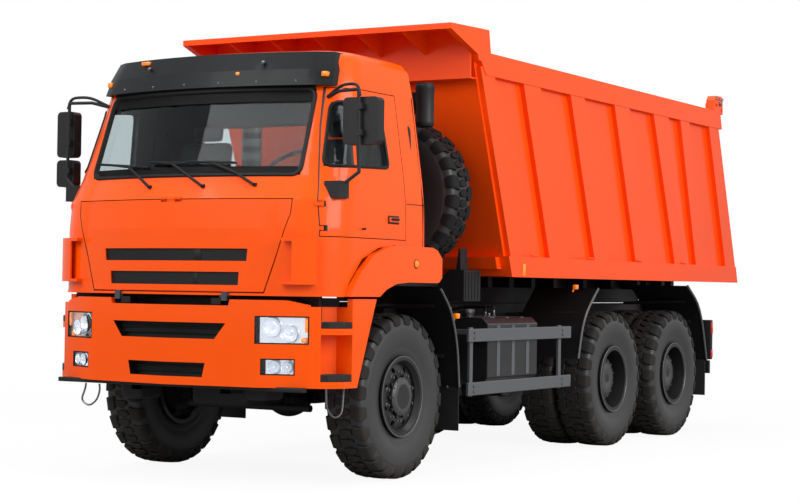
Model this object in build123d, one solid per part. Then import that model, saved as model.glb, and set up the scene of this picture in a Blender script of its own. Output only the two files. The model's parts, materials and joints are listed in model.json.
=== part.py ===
"""Three-axle dump truck. Millimetres; x to the truck's left, y to the rear, z up.

Everything is drawn with y counted back from the front axle, and save() shifts it
so that the origin is the middle of the truck's length on the ground.
"""
from build123d import *
from math import cos, sin, tan, radians, pi, atan2, degrees, sqrt, hypot
import os

os.makedirs("parts", exist_ok=True)

# ---------------------------------------------------------------- driving sizes
FRONT_AXLE_Y = -2685.0      # where the front axle stands in the part's frame
WHEELBASE = 3600.0          # front axle to middle axle
BOGIE = 1440.0              # middle axle to rear axle
TYRE_R = 600.0              # rolling radius of a tyre
TYRE_W = 320.0              # section width of a tyre
TREAD_W = 300.0             # width over the lugs
RIM_R = 270.0               # bead seat radius
FLANGE_R = 292.0            # rim flange
AXLE_Z = TYRE_R
FRONT_X = 985.0             # middle of a front tyre
TWIN_OUT_X = 1075.0         # middle of an outer twin tyre
TWIN_IN_X = 730.0           # middle of an inner twin tyre
RAIL_X = 432.0              # outer face of a frame rail
RAIL_T = 10.0
RAIL_H = 250.0
RAIL_TOP = 1120.0
SUB_TOP = 1290.0            # top of the tipping subframe
WALL = 45.0                 # cab and door wall
GAP = 6.0                   # clearance about a moving panel
CAB_Z0 = 1320.0
CAB_REAR = 170.0
SEAM_Z = 1985.0             # top seam of the front panel
DOOR_Z0, DOOR_TOP = 1725.0, 2775.0   # the door's foot and head
DOOR_Y1 = -95.0             # rear edge of a door
BED_W = 1243.0              # half width over the body's posts
BED_SKIN = BED_W - 48       # half width at the body's side sheet
BED_FLOOR_Z = 1490.0
RAKE = 0.370                # forward lean of the body's front edge
REAR_Y = WHEELBASE + BOGIE  # rear axle
HINGE_Y, HINGE_Z = REAR_Y + 1160, 1215.0
BASE_Y, BASE_Z = WHEELBASE - 580, 715.0
EYE_Y, EYE_Z = BASE_Y, 1420.0
HOIST_PIN_R = 24.0          # the hoist's upper cross pin
SLOT_RUN = ((0, 0), (8, -9), (16, -18), (24, -27), (32, -36), (38, -43))
TILT_Y, TILT_Z = -1270.0, 1305.0   # the cab's tilt pins


# ---------------------------------------------------------------- helpers
def save(name, shape):
    """Write one piece, moved from the front-axle frame to the part's frame."""
    solids = shape.solids() if hasattr(shape, "solids") else [shape]
    moved = [Pos(0, FRONT_AXLE_Y, 0) * s for s in solids]
    out = moved[0] if len(moved) == 1 else Compound(children=moved)
    out.label = name
    export_step(out, f"parts/{name}.step")
    print(name, len(solids), round(sum(s.volume for s in solids) / 1e6, 2), flush=True)


def block(x0, x1, y0, y1, z0, z1):
    return Pos((x0 + x1) / 2, (y0 + y1) / 2, (z0 + z1) / 2) * Box(abs(x1 - x0), abs(y1 - y0), abs(z1 - z0))


def slab_x(pts, x0, x1):
    """A (y, z) outline pushed from x0 to x1."""
    face = Plane(origin=(x0, 0, 0), x_dir=(0, 1, 0), z_dir=(1, 0, 0)) * make_face(Polyline(*pts, close=True))
    return extrude(face, x1 - x0, dir=(1, 0, 0))


def slab_y(pts, y0, y1):
    """An (x, z) outline pushed from y0 to y1."""
    face = Plane(origin=(0, y0, 0), x_dir=(1, 0, 0), z_dir=(0, -1, 0)) * make_face(Polyline(*pts, close=True))
    return extrude(face, y1 - y0, dir=(0, 1, 0))


def slab_z(pts, z0, z1):
    """An (x, y) outline pushed from z0 to z1."""
    face = Pos(0, 0, z0) * make_face(Polyline(*pts, close=True))
    return extrude(face, z1 - z0, dir=(0, 0, 1))


def cyl_x(y, z, r, x0, x1):
    return Pos((x0 + x1) / 2, y, z) * Rot(0, 90, 0) * Cylinder(r, abs(x1 - x0))


def cyl_y(x, z, r, y0, y1):
    return Pos(x, (y0 + y1) / 2, z) * Rot(90, 0, 0) * Cylinder(r, abs(y1 - y0))


def cyl_z(x, y, r, z0, z1):
    return Pos(x, y, (z0 + z1) / 2) * Cylinder(r, abs(z1 - z0))


def rod(p, q, r):
    """A round bar from p to q."""
    p, q = Vector(*p), Vector(*q)
    plane = Plane(origin=p, z_dir=(q - p))
    return extrude(plane * Circle(r), (q - p).length)


def tube_path(pts, r, ball=True):
    """A round bar through pts, with balls at its bends."""
    out = rod(pts[0], pts[1], r)
    for a, b in zip(pts[1:-1], pts[2:]):
        out += rod(a, b, r)
        if ball:
            out += Pos(*a) * Sphere(r)
    return out


def mirrored(shape):
    return mirror(shape, about=Plane.YZ)


def both(shape):
    return shape + mirrored(shape)


def revolve_x(profile, x_sign=1.0):
    """A closed (x, r) outline turned about the x axis through the origin."""
    pts = [(x * x_sign, r) for x, r in profile]
    face = Plane.XY * make_face(Polyline(*pts, close=True))
    return revolve(face, Axis.X, 360)


# ---------------------------------------------------------------- wheels
LUGS = 22
LUG_DEPTH = 18.0


def tyre(cx, cy, side):
    """A tyre centred on (cx, cy): a carcass with a shoulder lug ring on each side of a centre band."""
    h, c = TYRE_W / 2, TREAD_W / 2
    deep = TYRE_R - LUG_DEPTH
    outline = [(-h + 38, RIM_R), (-h + 28, 300), (-h + 8, 340), (-h, 420), (-h + 6, 500), (-c + 2, deep - 8), (-c + 22, deep),
               (c - 22, deep), (c - 2, deep - 8), (h - 6, 500), (h, 420), (h - 8, 340), (h - 28, 300), (h - 38, RIM_R)]
    body = revolve_x(outline)
    pitch = 360.0 / LUGS
    lugs = []
    for row, (x0, x1, offset) in enumerate(((-c, -24.0, 0.0), (24.0, c, 0.5))):
        for i in range(LUGS):
            a = (i + offset) * pitch
            lug = Pos((x0 + x1) / 2, 0, (deep - 30 + TYRE_R) / 2) * Box(x1 - x0, 108, TYRE_R - deep + 30)
            lugs.append(Rot(a, 0, 0) * lug)
    ring = revolve_x([(-c, deep - 30), (-c, TYRE_R - 10), (-c + 14, TYRE_R), (c - 14, TYRE_R), (c, TYRE_R - 10), (c, deep - 30)])
    block_set = lugs[0].fuse(*lugs[1:]) & ring
    shape = body + block_set
    return Pos(cx, cy, AXLE_Z) * shape


def front_rim(cx, cy):
    """A single front rim with a nearly flush disc and a plain hub; it faces +x."""
    h = TYRE_W / 2
    ring = revolve_x([(-h + 10, RIM_R - 8), (-h + 10, FLANGE_R), (-h + 24, FLANGE_R), (-h + 34, RIM_R),
                      (h - 34, RIM_R), (h - 24, FLANGE_R), (h - 10, FLANGE_R), (h - 10, RIM_R - 8),
                      (h - 46, RIM_R - 30), (-h + 40, RIM_R - 24)])
    disc = revolve_x([(h - 60, 112), (h - 44, 112), (h - 40, 190), (h - 62, 245), (h - 62, RIM_R - 22), (h - 78, RIM_R - 22), (h - 78, 240), (h - 56, 186)])
    hub = revolve_x([(20, 46), (20, 120), (h - 40, 120), (h - 34, 108), (h - 8, 96), (h - 2, 88), (h - 2, 0.0), (h - 14, 0.0), (h - 14, 46)])
    shape = ring + disc + hub
    for i in range(8):
        a = radians(45 * i + 22.5)
        shape -= cyl_x(205 * cos(a), 205 * sin(a), 21, -h, h)
    for i in range(10):
        a = radians(36 * i)
        shape += cyl_x(150 * cos(a), 150 * sin(a), 13, h - 60, h - 22)
    return Pos(cx, cy, AXLE_Z) * shape


def twin_rim(cy):
    """The deep rims of a twin pair on the truck's left, with a protruding hub."""
    out, inn, h = TWIN_OUT_X, TWIN_IN_X, TYRE_W / 2
    shape = None
    for c in (out, inn):
        ring = Pos(c, 0, 0) * revolve_x([(-h + 10, RIM_R - 20), (-h + 10, FLANGE_R), (-h + 24, FLANGE_R), (-h + 34, RIM_R),
                                         (h - 34, RIM_R), (h - 24, FLANGE_R), (h - 10, FLANGE_R), (h - 10, RIM_R - 16),
                                         (-h + 40, RIM_R - 24)])
        shape = ring if shape is None else shape + ring
    mid = (out + inn) / 2
    disc = revolve_x([(mid - 34, 104), (mid - 34, 232), (mid - 10, 252), (mid - 4, RIM_R - 18), (mid + 14, RIM_R - 18), (mid + 10, 246), (mid - 14, 226), (mid - 14, 104)])
    spacer = revolve_x([(inn + h - 12, RIM_R - 18), (inn + h - 12, RIM_R - 3), (out - h + 12, RIM_R - 3), (out - h + 12, RIM_R - 18)])
    hub = revolve_x([(inn - 40, 62), (inn - 40, 128), (mid + 60, 128), (mid + 90, 130), (out + 60, 130), (out + 84, 112), (out + 84, 0.0), (out + 66, 0.0), (out + 66, 62)])
    shape += disc + spacer + hub
    for i in range(8):
        a = radians(45 * i)
        shape -= cyl_x(205 * cos(a), 205 * sin(a), 20, mid - 60, mid + 40)
    for i in range(10):
        a = radians(36 * i)
        shape += cyl_x(150 * cos(a), 150 * sin(a), 13, mid - 30, mid + 16)
    return Pos(0, cy, AXLE_Z) * shape


tyre0 = tyre(0, 0, 1)
tyre0 = Pos(0, 0, -AXLE_Z) * tyre0
front_rim0 = Pos(0, 0, -AXLE_Z) * front_rim(0, 0)


def placed(shape, x, y, z=AXLE_Z):
    return Pos(x, y, z) * shape


front_rim_r = mirrored(front_rim0)
save("front_tyre_left", placed(tyre0, FRONT_X, 0))
save("front_rim_left", placed(front_rim0, FRONT_X, 0))
save("front_tyre_right", placed(tyre0, -FRONT_X, 0))
save("front_rim_right", placed(front_rim_r, -FRONT_X, 0))
AXLES = (("mid", WHEELBASE), ("rear", WHEELBASE + BOGIE))
for tag, ya in AXLES:
    rim = twin_rim(ya)
    for side, sgn in (("left", 1), ("right", -1)):
        pair = [placed(tyre0, sgn * TWIN_OUT_X, ya), placed(tyre0, sgn * TWIN_IN_X, ya)]
        save(f"{tag}_tyres_{side}", Compound(children=pair))
        save(f"{tag}_rims_{side}", rim if sgn > 0 else mirrored(rim))

# ---------------------------------------------------------------- front axle and knuckles
KING_X = 772.0
KING_R = 26.0
beam = rod((-700, 0, AXLE_Z), (700, 0, AXLE_Z), 62)
beam += Pos(150, 0, AXLE_Z) * Sphere(190) + cyl_y(150, AXLE_Z, 120, -215, 175)
yoke = slab_y([(640, AXLE_Z - 150), (812, AXLE_Z - 150), (812, AXLE_Z - 104), (716, AXLE_Z - 104), (716, AXLE_Z + 104), (812, AXLE_Z + 104), (812, AXLE_Z + 150), (640, AXLE_Z + 150)], -52, 52)
yoke -= cyl_z(KING_X, 0, KING_R + 0.1, AXLE_Z - 300, AXLE_Z + 300)
beam += both(yoke)
SPRING_X = 432.0 - 40
leaf_rows = ((0, 700, 0), (1, 560, 18), (2, 400, 36))
for k, half, drop in leaf_rows:
    leaf = slab_x([(-half, 790 - drop), (0, 700 - drop), (half, 790 - drop), (half, 806 - drop), (0, 716 - drop), (-half, 806 - drop)], SPRING_X - 40, SPRING_X + 40)
    beam += both(leaf)
beam += both(block(SPRING_X - 55, SPRING_X + 55, -90, 90, AXLE_Z - 70, 716))
save("front_axle", beam)

knuckle = cyl_z(KING_X, 0, KING_R, AXLE_Z - 150, AXLE_Z + 150)
knuckle += block(745, 816, -36, 36, AXLE_Z - 96, AXLE_Z + 96)
knuckle += cyl_x(0, AXLE_Z, 92, 815, 838) + cyl_x(0, AXLE_Z, 45.9, 838, FRONT_X + TYRE_W / 2 - 30)
knuckle += block(748, 800, 30, 230, AXLE_Z - 92, AXLE_Z - 62)
knuckle += cyl_x(0, AXLE_Z, 186, 842, 900) - cyl_x(0, AXLE_Z, 170, 848, 960)
save("knuckle_left", knuckle)
save("knuckle_right", mirrored(knuckle))

# ---------------------------------------------------------------- rear axles
rear = None
for tag, ya in AXLES:
    one = rod((-600, ya, AXLE_Z), (600, ya, AXLE_Z), 78)
    one += rod((-TWIN_OUT_X - 20, ya, AXLE_Z), (TWIN_OUT_X + 20, ya, AXLE_Z), 61.9)
    one += both(cyl_x(ya, AXLE_Z, 190, 540, 556))
    one += Pos(0, ya, AXLE_Z) * Sphere(205) + cyl_y(0, AXLE_Z + 20, 100, ya - 296, ya)
    rear = one if rear is None else rear + one
mid_y = WHEELBASE + BOGIE / 2
for k, half, drop in ((0, BOGIE / 2 - 20, 0), (1, BOGIE / 2 - 160, 20), (2, BOGIE / 2 - 300, 40), (3, BOGIE / 2 - 440, 60)):
    rear += both(slab_x([(mid_y - half, 660 + drop), (mid_y, 690 + drop), (mid_y + half, 660 + drop), (mid_y + half, 678 + drop), (mid_y, 708 + drop), (mid_y - half, 678 + drop)], 455, 535))
rear += both(block(430, 550, mid_y - 90, mid_y + 90, 640, 860))
rear += both(block(470, 530, WHEELBASE - 60, WHEELBASE + 60, AXLE_Z, 680)) + both(block(470, 530, WHEELBASE + BOGIE - 60, WHEELBASE + BOGIE + 60, AXLE_Z, 680))
save("rear_axles", rear)

# ---------------------------------------------------------------- frame
FRAME_Y0, FRAME_Y1 = -1150.0, REAR_Y + 1110
rail = block(RAIL_X - RAIL_T, RAIL_X, FRAME_Y0, FRAME_Y1, RAIL_TOP - RAIL_H, RAIL_TOP)
rail += block(RAIL_X - 80, RAIL_X, FRAME_Y0, FRAME_Y1, RAIL_TOP - RAIL_T, RAIL_TOP)
rail += block(RAIL_X - 80, RAIL_X, FRAME_Y0, FRAME_Y1, RAIL_TOP - RAIL_H, RAIL_TOP - RAIL_H + RAIL_T)
frame = both(rail)
CROSS = ((-1100, 180), (560, 140), (1450, 140), (2200, 140), (WHEELBASE - 180, 140), (mid_y, 170), (REAR_Y + 560, 140), (FRAME_Y1 - 70, 200))
for y, h in CROSS:
    frame += block(-RAIL_X + 6, RAIL_X - 6, y - 35, y + 35, RAIL_TOP - 20 - h, RAIL_TOP - 14)
frame += both(block(RAIL_X - 80, RAIL_X + 60, mid_y - 60, mid_y + 60, 860, 872))
HANGERS = ((-700, 806), (700, 806))
for y, z in HANGERS:
    frame += both(block(352, RAIL_X, y - 45, y + 45, z, RAIL_TOP - RAIL_H))
tilt_arm = slab_x([(-1130, 880), (-1130, 1150), (-1200, TILT_Z - 5), (TILT_Y - 15, TILT_Z - 5), (TILT_Y - 15, 1256), (-1232, 1256), (-1190, 1100), (-1190, 880)], 352, RAIL_X)
frame += both(tilt_arm) + both(cyl_x(TILT_Y, TILT_Z - 20, 12, 400, RAIL_X)) + both(cyl_x(TILT_Y, TILT_Z, 15, 420, 492))
frame += block(-346, 346, -1170, -1064, 740, 1235)
frame += both(block(346, RAIL_X - 6, -1150, -1110, 880, 1100))
frame += both(block(345, 431, -1180, -1000, 640, 880)) + block(-1060, 1060, -1215, -1150, 640, 694)
frame += block(-915, 915, -1102, -1088, 1205, 1296) + both(block(352, RAIL_X, -1150, -1085, 1100, 1240))
save("chassis_frame", frame)

sub = both(block(350, RAIL_X, 900, FRAME_Y1, RAIL_TOP, SUB_TOP - 30))
for y in (950, 2000, WHEELBASE - 100, WHEELBASE + 1100, FRAME_Y1 - 50):
    sub += block(-360, 360, y - 40, y + 40, RAIL_TOP + 2, SUB_TOP - 40)
lug = slab_x([(HINGE_Y - 140, RAIL_TOP), (HINGE_Y + 20, HINGE_Z - 72), (HINGE_Y, HINGE_Z + 60), (HINGE_Y - 140, SUB_TOP - 30)], 350, RAIL_X)
lug += cyl_x(HINGE_Y, HINGE_Z, 75, 350, RAIL_X)
sub += both(lug)
sub -= cyl_x(HINGE_Y, HINGE_Z, 35.1, -600, 600)
cradle = block(260, RAIL_X - 12, BASE_Y - 60, BASE_Y + 60, BASE_Z - 70, RAIL_TOP - RAIL_H - 2)
cradle += block(260, 300, BASE_Y - 60, BASE_Y + 60, BASE_Z - 70, RAIL_TOP - 30)
cradle += block(300, RAIL_X - 10, BASE_Y - 60, BASE_Y + 60, RAIL_TOP - 140, RAIL_TOP - 60)
cradle -= cyl_x(BASE_Y, BASE_Z, 40.1, 200, 600)
sub += both(cradle)
save("tipping_subframe", sub)

# ---------------------------------------------------------------- engine and driveline
save("engine_block", block(-330, 330, -950, 420, 905, 1300))
drive = block(-190, 190, 420, 1150, 700, 955) + block(-200, 200, 1530, 1870, 450, 950)
drive += rod((0, 1140, 850), (0, 1540, 800), 45)
drive += rod((150, 1540, 560), (150, 192, 606), 38) + rod((0, 1860, 505), (0, WHEELBASE - 340, 618), 42) + cyl_y(0, AXLE_Z + 20, 60, WHEELBASE - 370, WHEELBASE - 296)
drive += rod((0, WHEELBASE + 120, AXLE_Z + 20), (0, WHEELBASE + BOGIE - 290, AXLE_Z + 20), 45)
drive += both(block(190, RAIL_X - 82, 1650, 1750, 900, 940)) + both(block(185, RAIL_X - 82, 500, 600, 900, 940))
drive = drive - rear - beam
save("driveline", drive)

# ---------------------------------------------------------------- bumper
BUMP_Z0, BUMP_Z1 = 700.0, 1250.0
BUMP_PLAN = [(0, -1360), (486, -1300), (709, -1270), (1050, -1125), (1160, -1050), (1232, -960), (1240, -850), (1240, -800)]


def bumper_shell(z0, z1, inset=0.0):
    outer = [(x - (inset if x > 1100 else 0), y + inset) for x, y in BUMP_PLAN]
    left = [(-x, y) for x, y in reversed(outer) if x > 0]
    back = [(1240 - inset, -640), (-1240 + inset, -640)]
    return slab_z(left + outer + back, z0, z1)


bumper = bumper_shell(BUMP_Z0, BUMP_Z1)
inner = [(x * 0.962 if x > 1100 else x, y + 70) for x, y in BUMP_PLAN]
inner_left = [(-x, y) for x, y in reversed(inner) if x > 0]
bumper -= slab_z(inner_left + inner + [(1190, -400), (-1190, -400)], BUMP_Z0 - 10, BUMP_Z1 + 10)
bumper += both(block(900, 1190, -1060, -690, BUMP_Z0 + 100, BUMP_Z0 + 130))
# raised shoulders over the lamps, and the tall side panels ahead of the wheels
shoulder = slab_y([(500, 1240), (515, 1292), (900, 1292), (1040, 1262), (1040, 1240)], -1400, -1000)
bumper += both(shoulder & (bumper_shell(BUMP_Z0, 1310) - slab_z([(x, y + 40) for x, y in BUMP_PLAN] + [(1200, -500), (0, -500)], 600, 1400)))
SIDE_TALL = [(-980, 700), (-980, 1306), (-557, 1306), (-807, 700)]
side = bumper_shell(BUMP_Z0, 1306) & slab_x(SIDE_TALL, 1190, 1300)
side_l = slab_x(SIDE_TALL, 1196, 1240) & slab_z([(1100, -1100), (1160, -1050), (1232, -960), (1240, -850), (1240, -500), (1100, -500)], 600, 1400)
bumper -= both(slab_x([(-807, 690), (-557, 1310), (-300, 1310), (-300, 690)], 1100, 1300))
bumper += both(side_l)
# the step wells in the side panels
well_plan = [(1118, -1079), (1300, -1250), (1300, -872), (1112, -872), (1046, -985)]
bumper += both(slab_z([(1095, -1096), (1160, -1050), (1232, -960), (1240, -860), (1098, -860), (1026, -985), (1080, -1080)], 700, 1250))
for z0, z1 in ((1105, 1400), (745, 1062)):
    bumper -= both(slab_z(well_plan, z0, z1))
bumper -= slab_y([(-486, 1130), (486, 1130), (400, 1020), (-400, 1020)], -1500, -1200)
bumper -= slab_y([(-331, 855), (331, 855), (310, 757), (-310, 757)], -1500, -1200)
lamp_cut = [(705, 995), (1052, 995), (1052, 1185), (705, 1185)]
fog_cut = [(745, 785), (965, 785), (965, 897), (745, 897)]
bumper -= both(slab_y(lamp_cut, -1400, -1040)) + both(slab_y(fog_cut, -1400, -1040))
bumper += both(block(352, RAIL_X, -1290, -1190, 880, 960))
save("bumper", bumper)

treads = None
for z0, z1 in ((1105, 1150), (745, 795)):
    t = slab_z([(1118, -1079), (1160, -1051), (1231, -961), (1238, -878), (1128, -878), (1070, -985)], z0, z1)
    treads = t if treads is None else treads + t
save("step_treads", Compound(children=[*treads.solids(), *mirrored(treads).solids()]))

lamp_band = slab_z([(700, -1268), (1056, -1117), (1056, -1047), (700, -1198)], 780, 1190)
lamps = both(lamp_band & slab_y(lamp_cut, -1400, -1040)) + both(lamp_band & slab_y(fog_cut, -1400, -1040))
lamps += both(block(985, 1165, FRAME_Y1 - 10, FRAME_Y1 + 60, 690, 1110))
lamps -= bumper
save("road_lamps", lamps)

# ---------------------------------------------------------------- cab
# Each row is one level of the cab's outline: z, front at the middle, drop back of the front
# at the corner, corner radius, half width, rear.
CAB_LEVELS = (
    (1320.0, -1302.0, 110.0, 380.0, 1200.0, 170.0),
    (1780.0, -1306.0, 116.0, 380.0, 1200.0, 170.0),
    (1980.0, -1290.0, 120.0, 380.0, 1195.0, 170.0),
    (2150.0, -1195.0, 150.0, 330.0, 1178.0, 170.0),
    (DOOR_TOP + 5, -960.0, 133.0, 300.0, 1085.0, 170.0),
    (DOOR_TOP + 185, -895.0, 125.0, 280.0, 1050.0, 160.0),
    (DOOR_TOP + 245, -850.0, 115.0, 260.0, 1010.0, 125.0),
    (DOOR_TOP + 275, -770.0, 105.0, 240.0, 930.0, 50.0),
)


def cab_outline(z, front, drop, corner, half, rear, off=0.0):
    half, front, rear = half - off, front + off, rear - off
    corner = max(corner - off, 60.0)
    y_side = front + drop + corner
    a = Vector(-half, rear, z)
    b = Vector(-half, y_side, z)
    xc = half - corner
    yc = front + drop
    k = corner * (1 - 0.70711)
    c = Vector(-xc, yc, z)
    arc1 = ThreePointArc(b, Vector(-half + k, yc + k, z), c)
    front_arc = ThreePointArc(c, Vector(0, front, z), Vector(xc, yc, z))
    arc2 = ThreePointArc(Vector(xc, yc, z), Vector(half - k, yc + k, z), Vector(half, y_side, z))
    lines = [Line(a, b), arc1, front_arc, arc2, Line(Vector(half, y_side, z), Vector(half, rear, z)), Line(Vector(half, rear, z), a)]
    return Face(Wire(lines))


def cab_loft(off=0.0, z0=None, top=0.0):
    faces = []
    for i, (z, *rest) in enumerate(CAB_LEVELS):
        zz = z - top if i >= len(CAB_LEVELS) - 3 else z
        if i == 0 and z0 is not None:
            zz = z0
        faces.append(cab_outline(zz, *rest, off=off))
    return loft(faces, ruled=True)


cab_outer = cab_loft()
cab_inner = cab_loft(off=WALL, z0=CAB_Z0 - 20, top=WALL)
shell = cab_outer - cab_inner
floor = (cab_loft(off=WALL - 5) & block(-1300, 1300, -1500, 400, 1700, 1740))
tunnel = block(-420, 420, -1150, CAB_REAR - 20, 1725, 1790)
firewall = (cab_loft(off=WALL - 5) & block(-1300, 1300, -1060, -1030, CAB_Z0, 2130))
shell += floor + firewall
# wheel arch through the lower side
ARCH = [(-905, 1300), (-860, 1420), (-700, 1580), (-480, 1665), (-260, 1690), (60, 1640), (170, 1560), (330, 1400), (330, 1300)]
shell -= both(slab_x(ARCH, 700, 1300))
# windows
ws_cut = slab_y([(-905, 2150), (905, 2150), (886, DOOR_TOP - 15), (-886, DOOR_TOP - 15)], -1400, -600)
shell -= ws_cut
rear_cut = slab_y([(-820, 2240), (820, 2240), (800, DOOR_TOP - 155), (-800, DOOR_TOP - 155)], 60, 300)
shell -= rear_cut
# door aperture: the seam leans with the pillar above the belt
DOOR_OUT = [(-1078, DOOR_Z0), (-1074, 1980), (-996, 2150), (-888, DOOR_TOP - 275), (-794, DOOR_TOP), (DOOR_Y1, DOOR_TOP), (DOOR_Y1, DOOR_Z0)]
DOOR_IN = [(-1078 + GAP, DOOR_Z0 + GAP), (-1074 + GAP, 1980), (-996 + GAP, 2150), (-888 + GAP, DOOR_TOP - 275), (-794 + GAP + 2, DOOR_TOP - GAP), (DOOR_Y1 - GAP, DOOR_TOP - GAP), (DOOR_Y1 - GAP, DOOR_Z0 + GAP)]
shell_before = shell
shell -= both(slab_x(DOOR_OUT, 700, 1300))
# front panel aperture
PANEL_KNEE = SEAM_Z - 105   # above this the panel's sides stand nearly upright, so that it can swing out


def panel_outline(inset, foot, head):
    """The front panel's (x, z) outline, drawn in by inset at its sides."""
    right = [(740 - inset, foot), (918 - inset, PANEL_KNEE), (925 - inset, head)]
    return right + [(-x, z) for x, z in reversed(right)]


PANEL = panel_outline(0, 1336, SEAM_Z)
PANEL_IN = panel_outline(GAP + 1, 1340 + GAP, SEAM_Z - GAP)
PANEL_CORE = panel_outline(60, 1350 + GAP, SEAM_Z - GAP)
panel_zone = slab_y(PANEL, -1500, -1065)
shell -= panel_zone
shell += both(block(440, 484, TILT_Y - 22, TILT_Y + 22, TILT_Z - 22, 1345))
shell -= cyl_x(TILT_Y, TILT_Z, 15.1, -600, 600)

door_band = (cab_outer - cab_loft(off=WALL, top=WALL, z0=CAB_Z0 - 20)) & block(700, 1300, -1400, 300, 1500, 2900)
door = door_band & slab_x(DOOR_IN, 700, 1300)
WINDOW = [(-958, 2212), (-796, DOOR_TOP - 107), (-330, DOOR_TOP - 75), (-290, 2235)]
door -= slab_x(WINDOW, 700, 1300)
door -= slab_y([(-700, 2100), (913, 2100), (913, 2150), (896, DOOR_TOP + 15), (-700, DOOR_TOP + 15)], -1400, -600)
bar_y = -745
door += (door_band & slab_x([(bar_y - 12, 2215), (bar_y + 62, DOOR_TOP - 85), (bar_y + 92, DOOR_TOP - 85), (bar_y + 18, 2215)], 700, 1300))
handle = block(1170, 1222, -330, -210, 1850, 1885) - block(1190, 1212, -310, -230, 1840, 1895)
door += block(1165, 1215, -345, -205, 1852, 1884)
HX, HY = 1096.0, -1048.0
for z in (1765, 1930):
    notch = block(985, 1170, -1105, HY + 17, z, z + 40)
    door -= notch
    ear = slab_z([(1024, -1094), (1062, -1094), (HX + 9, HY - 4), (HX, HY + 9), (HX - 12, HY - 2)], z + 6, z + 34) + cyl_z(HX, HY, 10, z + 6, z + 34)
    ear -= cyl_z(HX, HY, 5.1, z - 10, z + 60)
    hinge_ears = ear if z == 1765 else hinge_ears + ear
    door += cyl_z(HX, HY, 5, z - 12, z + 52)
shell += both(hinge_ears)


def wedge(a0, a1, z0, z1):
    """A sector about the cab's corner, between two angles from +x towards the front."""
    pts = [(817.0, -798.0)]
    for a in (a0, (a0 + a1) / 2, a1):
        pts.append((817.0 + 620.0 * cos(radians(a)), -798.0 - 620.0 * sin(radians(a))))
    return slab_z(pts, z0, z1)


# corner deflectors: a blade held off the corner by a flange at its top and its foot
off_zone = block(700, 1400, -1500, -900, 1395, 1720)
blade_out = cab_loft(off=-50) & off_zone
deflector = (blade_out - cab_loft(off=-36)) & wedge(49.5, 71.0, 1400, 1715)
deflector += (blade_out - cab_loft(off=2)) & (wedge(49.5, 81.0, 1692, 1715) + wedge(49.5, 82.0, 1400, 1420) + wedge(48.5, 50.5, 1400, 1715))
shell += both(deflector)
save("door_left", door)
save("door_right", mirrored(door))

glass_band = cab_loft(off=18, z0=CAB_Z0 - 20, top=18) - cab_loft(off=26, z0=CAB_Z0 - 21, top=26)
side_glass = (glass_band & slab_x(WINDOW, 700, 1300)) & block(700, 1300, -1400, 300, 2000, 2900)
side_glass -= door
save("door_glass_left", side_glass)
save("door_glass_right", mirrored(side_glass))

front_glass = glass_band & slab_y([(-905, 2150), (905, 2150), (886, DOOR_TOP - 15), (-886, DOOR_TOP - 15)], -1400, -600)
back_glass = glass_band & slab_y([(-820, 2240), (820, 2240), (800, DOOR_TOP - 155), (-800, DOOR_TOP - 155)], 60, 300)
save("cab_glass", Compound(children=[*front_glass.solids(), *back_glass.solids()]))

panel_band = (cab_outer - cab_inner) & slab_y(PANEL_CORE, -1500, -1071)
panel_band += (cab_outer - cab_loft(off=10, z0=CAB_Z0 - 20, top=10)) & slab_y(PANEL_IN, -1500, -1071)
slots = slab_y([(-617, 1640), (617, 1640), (610, 1555), (-610, 1555)], -1500, -1000) + slab_y([(-557, 1480), (557, 1480), (550, 1390), (-550, 1390)], -1500, -1000)
slot_band = cab_loft(off=14, z0=CAB_Z0 - 20, top=14) - cab_loft(off=26, z0=CAB_Z0 - 21, top=26)
panel = panel_band - slots
save("grille_mesh", Compound(children=(slot_band & slots).solids()))
LID_Y, LID_Z = -1291.0, SEAM_Z
panel -= block(-90, 90, -1310, -1270, SEAM_Z - 22, SEAM_Z + 20)
lid_ears = both(block(36, 84, LID_Y - 7, LID_Y + 30, LID_Z, LID_Z + 10) + cyl_x(LID_Y, LID_Z, 7, 36, 84)) - both(cyl_x(LID_Y, LID_Z, 4.1, 20, 90))
shell -= block(-90, 90, -1310, LID_Y + 12, SEAM_Z - 20, SEAM_Z + 12)
shell += lid_ears
lid_eye = cyl_x(LID_Y, LID_Z, 7, -33, 33) + slab_x([(LID_Y - 6, LID_Z - 2), (LID_Y + 6, LID_Z - 4), (LID_Y + 24, LID_Z - 30), (LID_Y + 2, LID_Z - 30)], -33, 33) + cyl_x(LID_Y, LID_Z, 4, -80, 80)
panel += lid_eye
save("front_panel", panel)

save("cab_shell", shell)

# visor across the windscreen's head
VISOR_LEVELS = ((DOOR_TOP + 10, -1005.0, 890.0, -868.0, 1000.0, -800.0), (DOOR_TOP + 125, -965.0, 882.0, -828.0, 992.0, -752.0), (DOOR_TOP + 255, -900.0, 852.0, -762.0, 955.0, -690.0))


def visor_outline(z, front, cx, cy, sx, sy, t=0.0):
    c, d = Vector(cx - t, cy + t, z), Vector(sx - t * 1.1, sy + t * 0.4, z)
    m, e = Vector(-c.X, c.Y, z), Vector(-d.X, d.Y, z)
    front_arc = ThreePointArc(m, Vector(0, front + t, z), c)
    back_l, back_r = Vector(d.X, 200, z), Vector(-d.X, 200, z)
    return Face(Wire([front_arc, Line(c, d), Line(d, back_l), Line(back_l, back_r), Line(back_r, e), Line(e, m)]))


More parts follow.
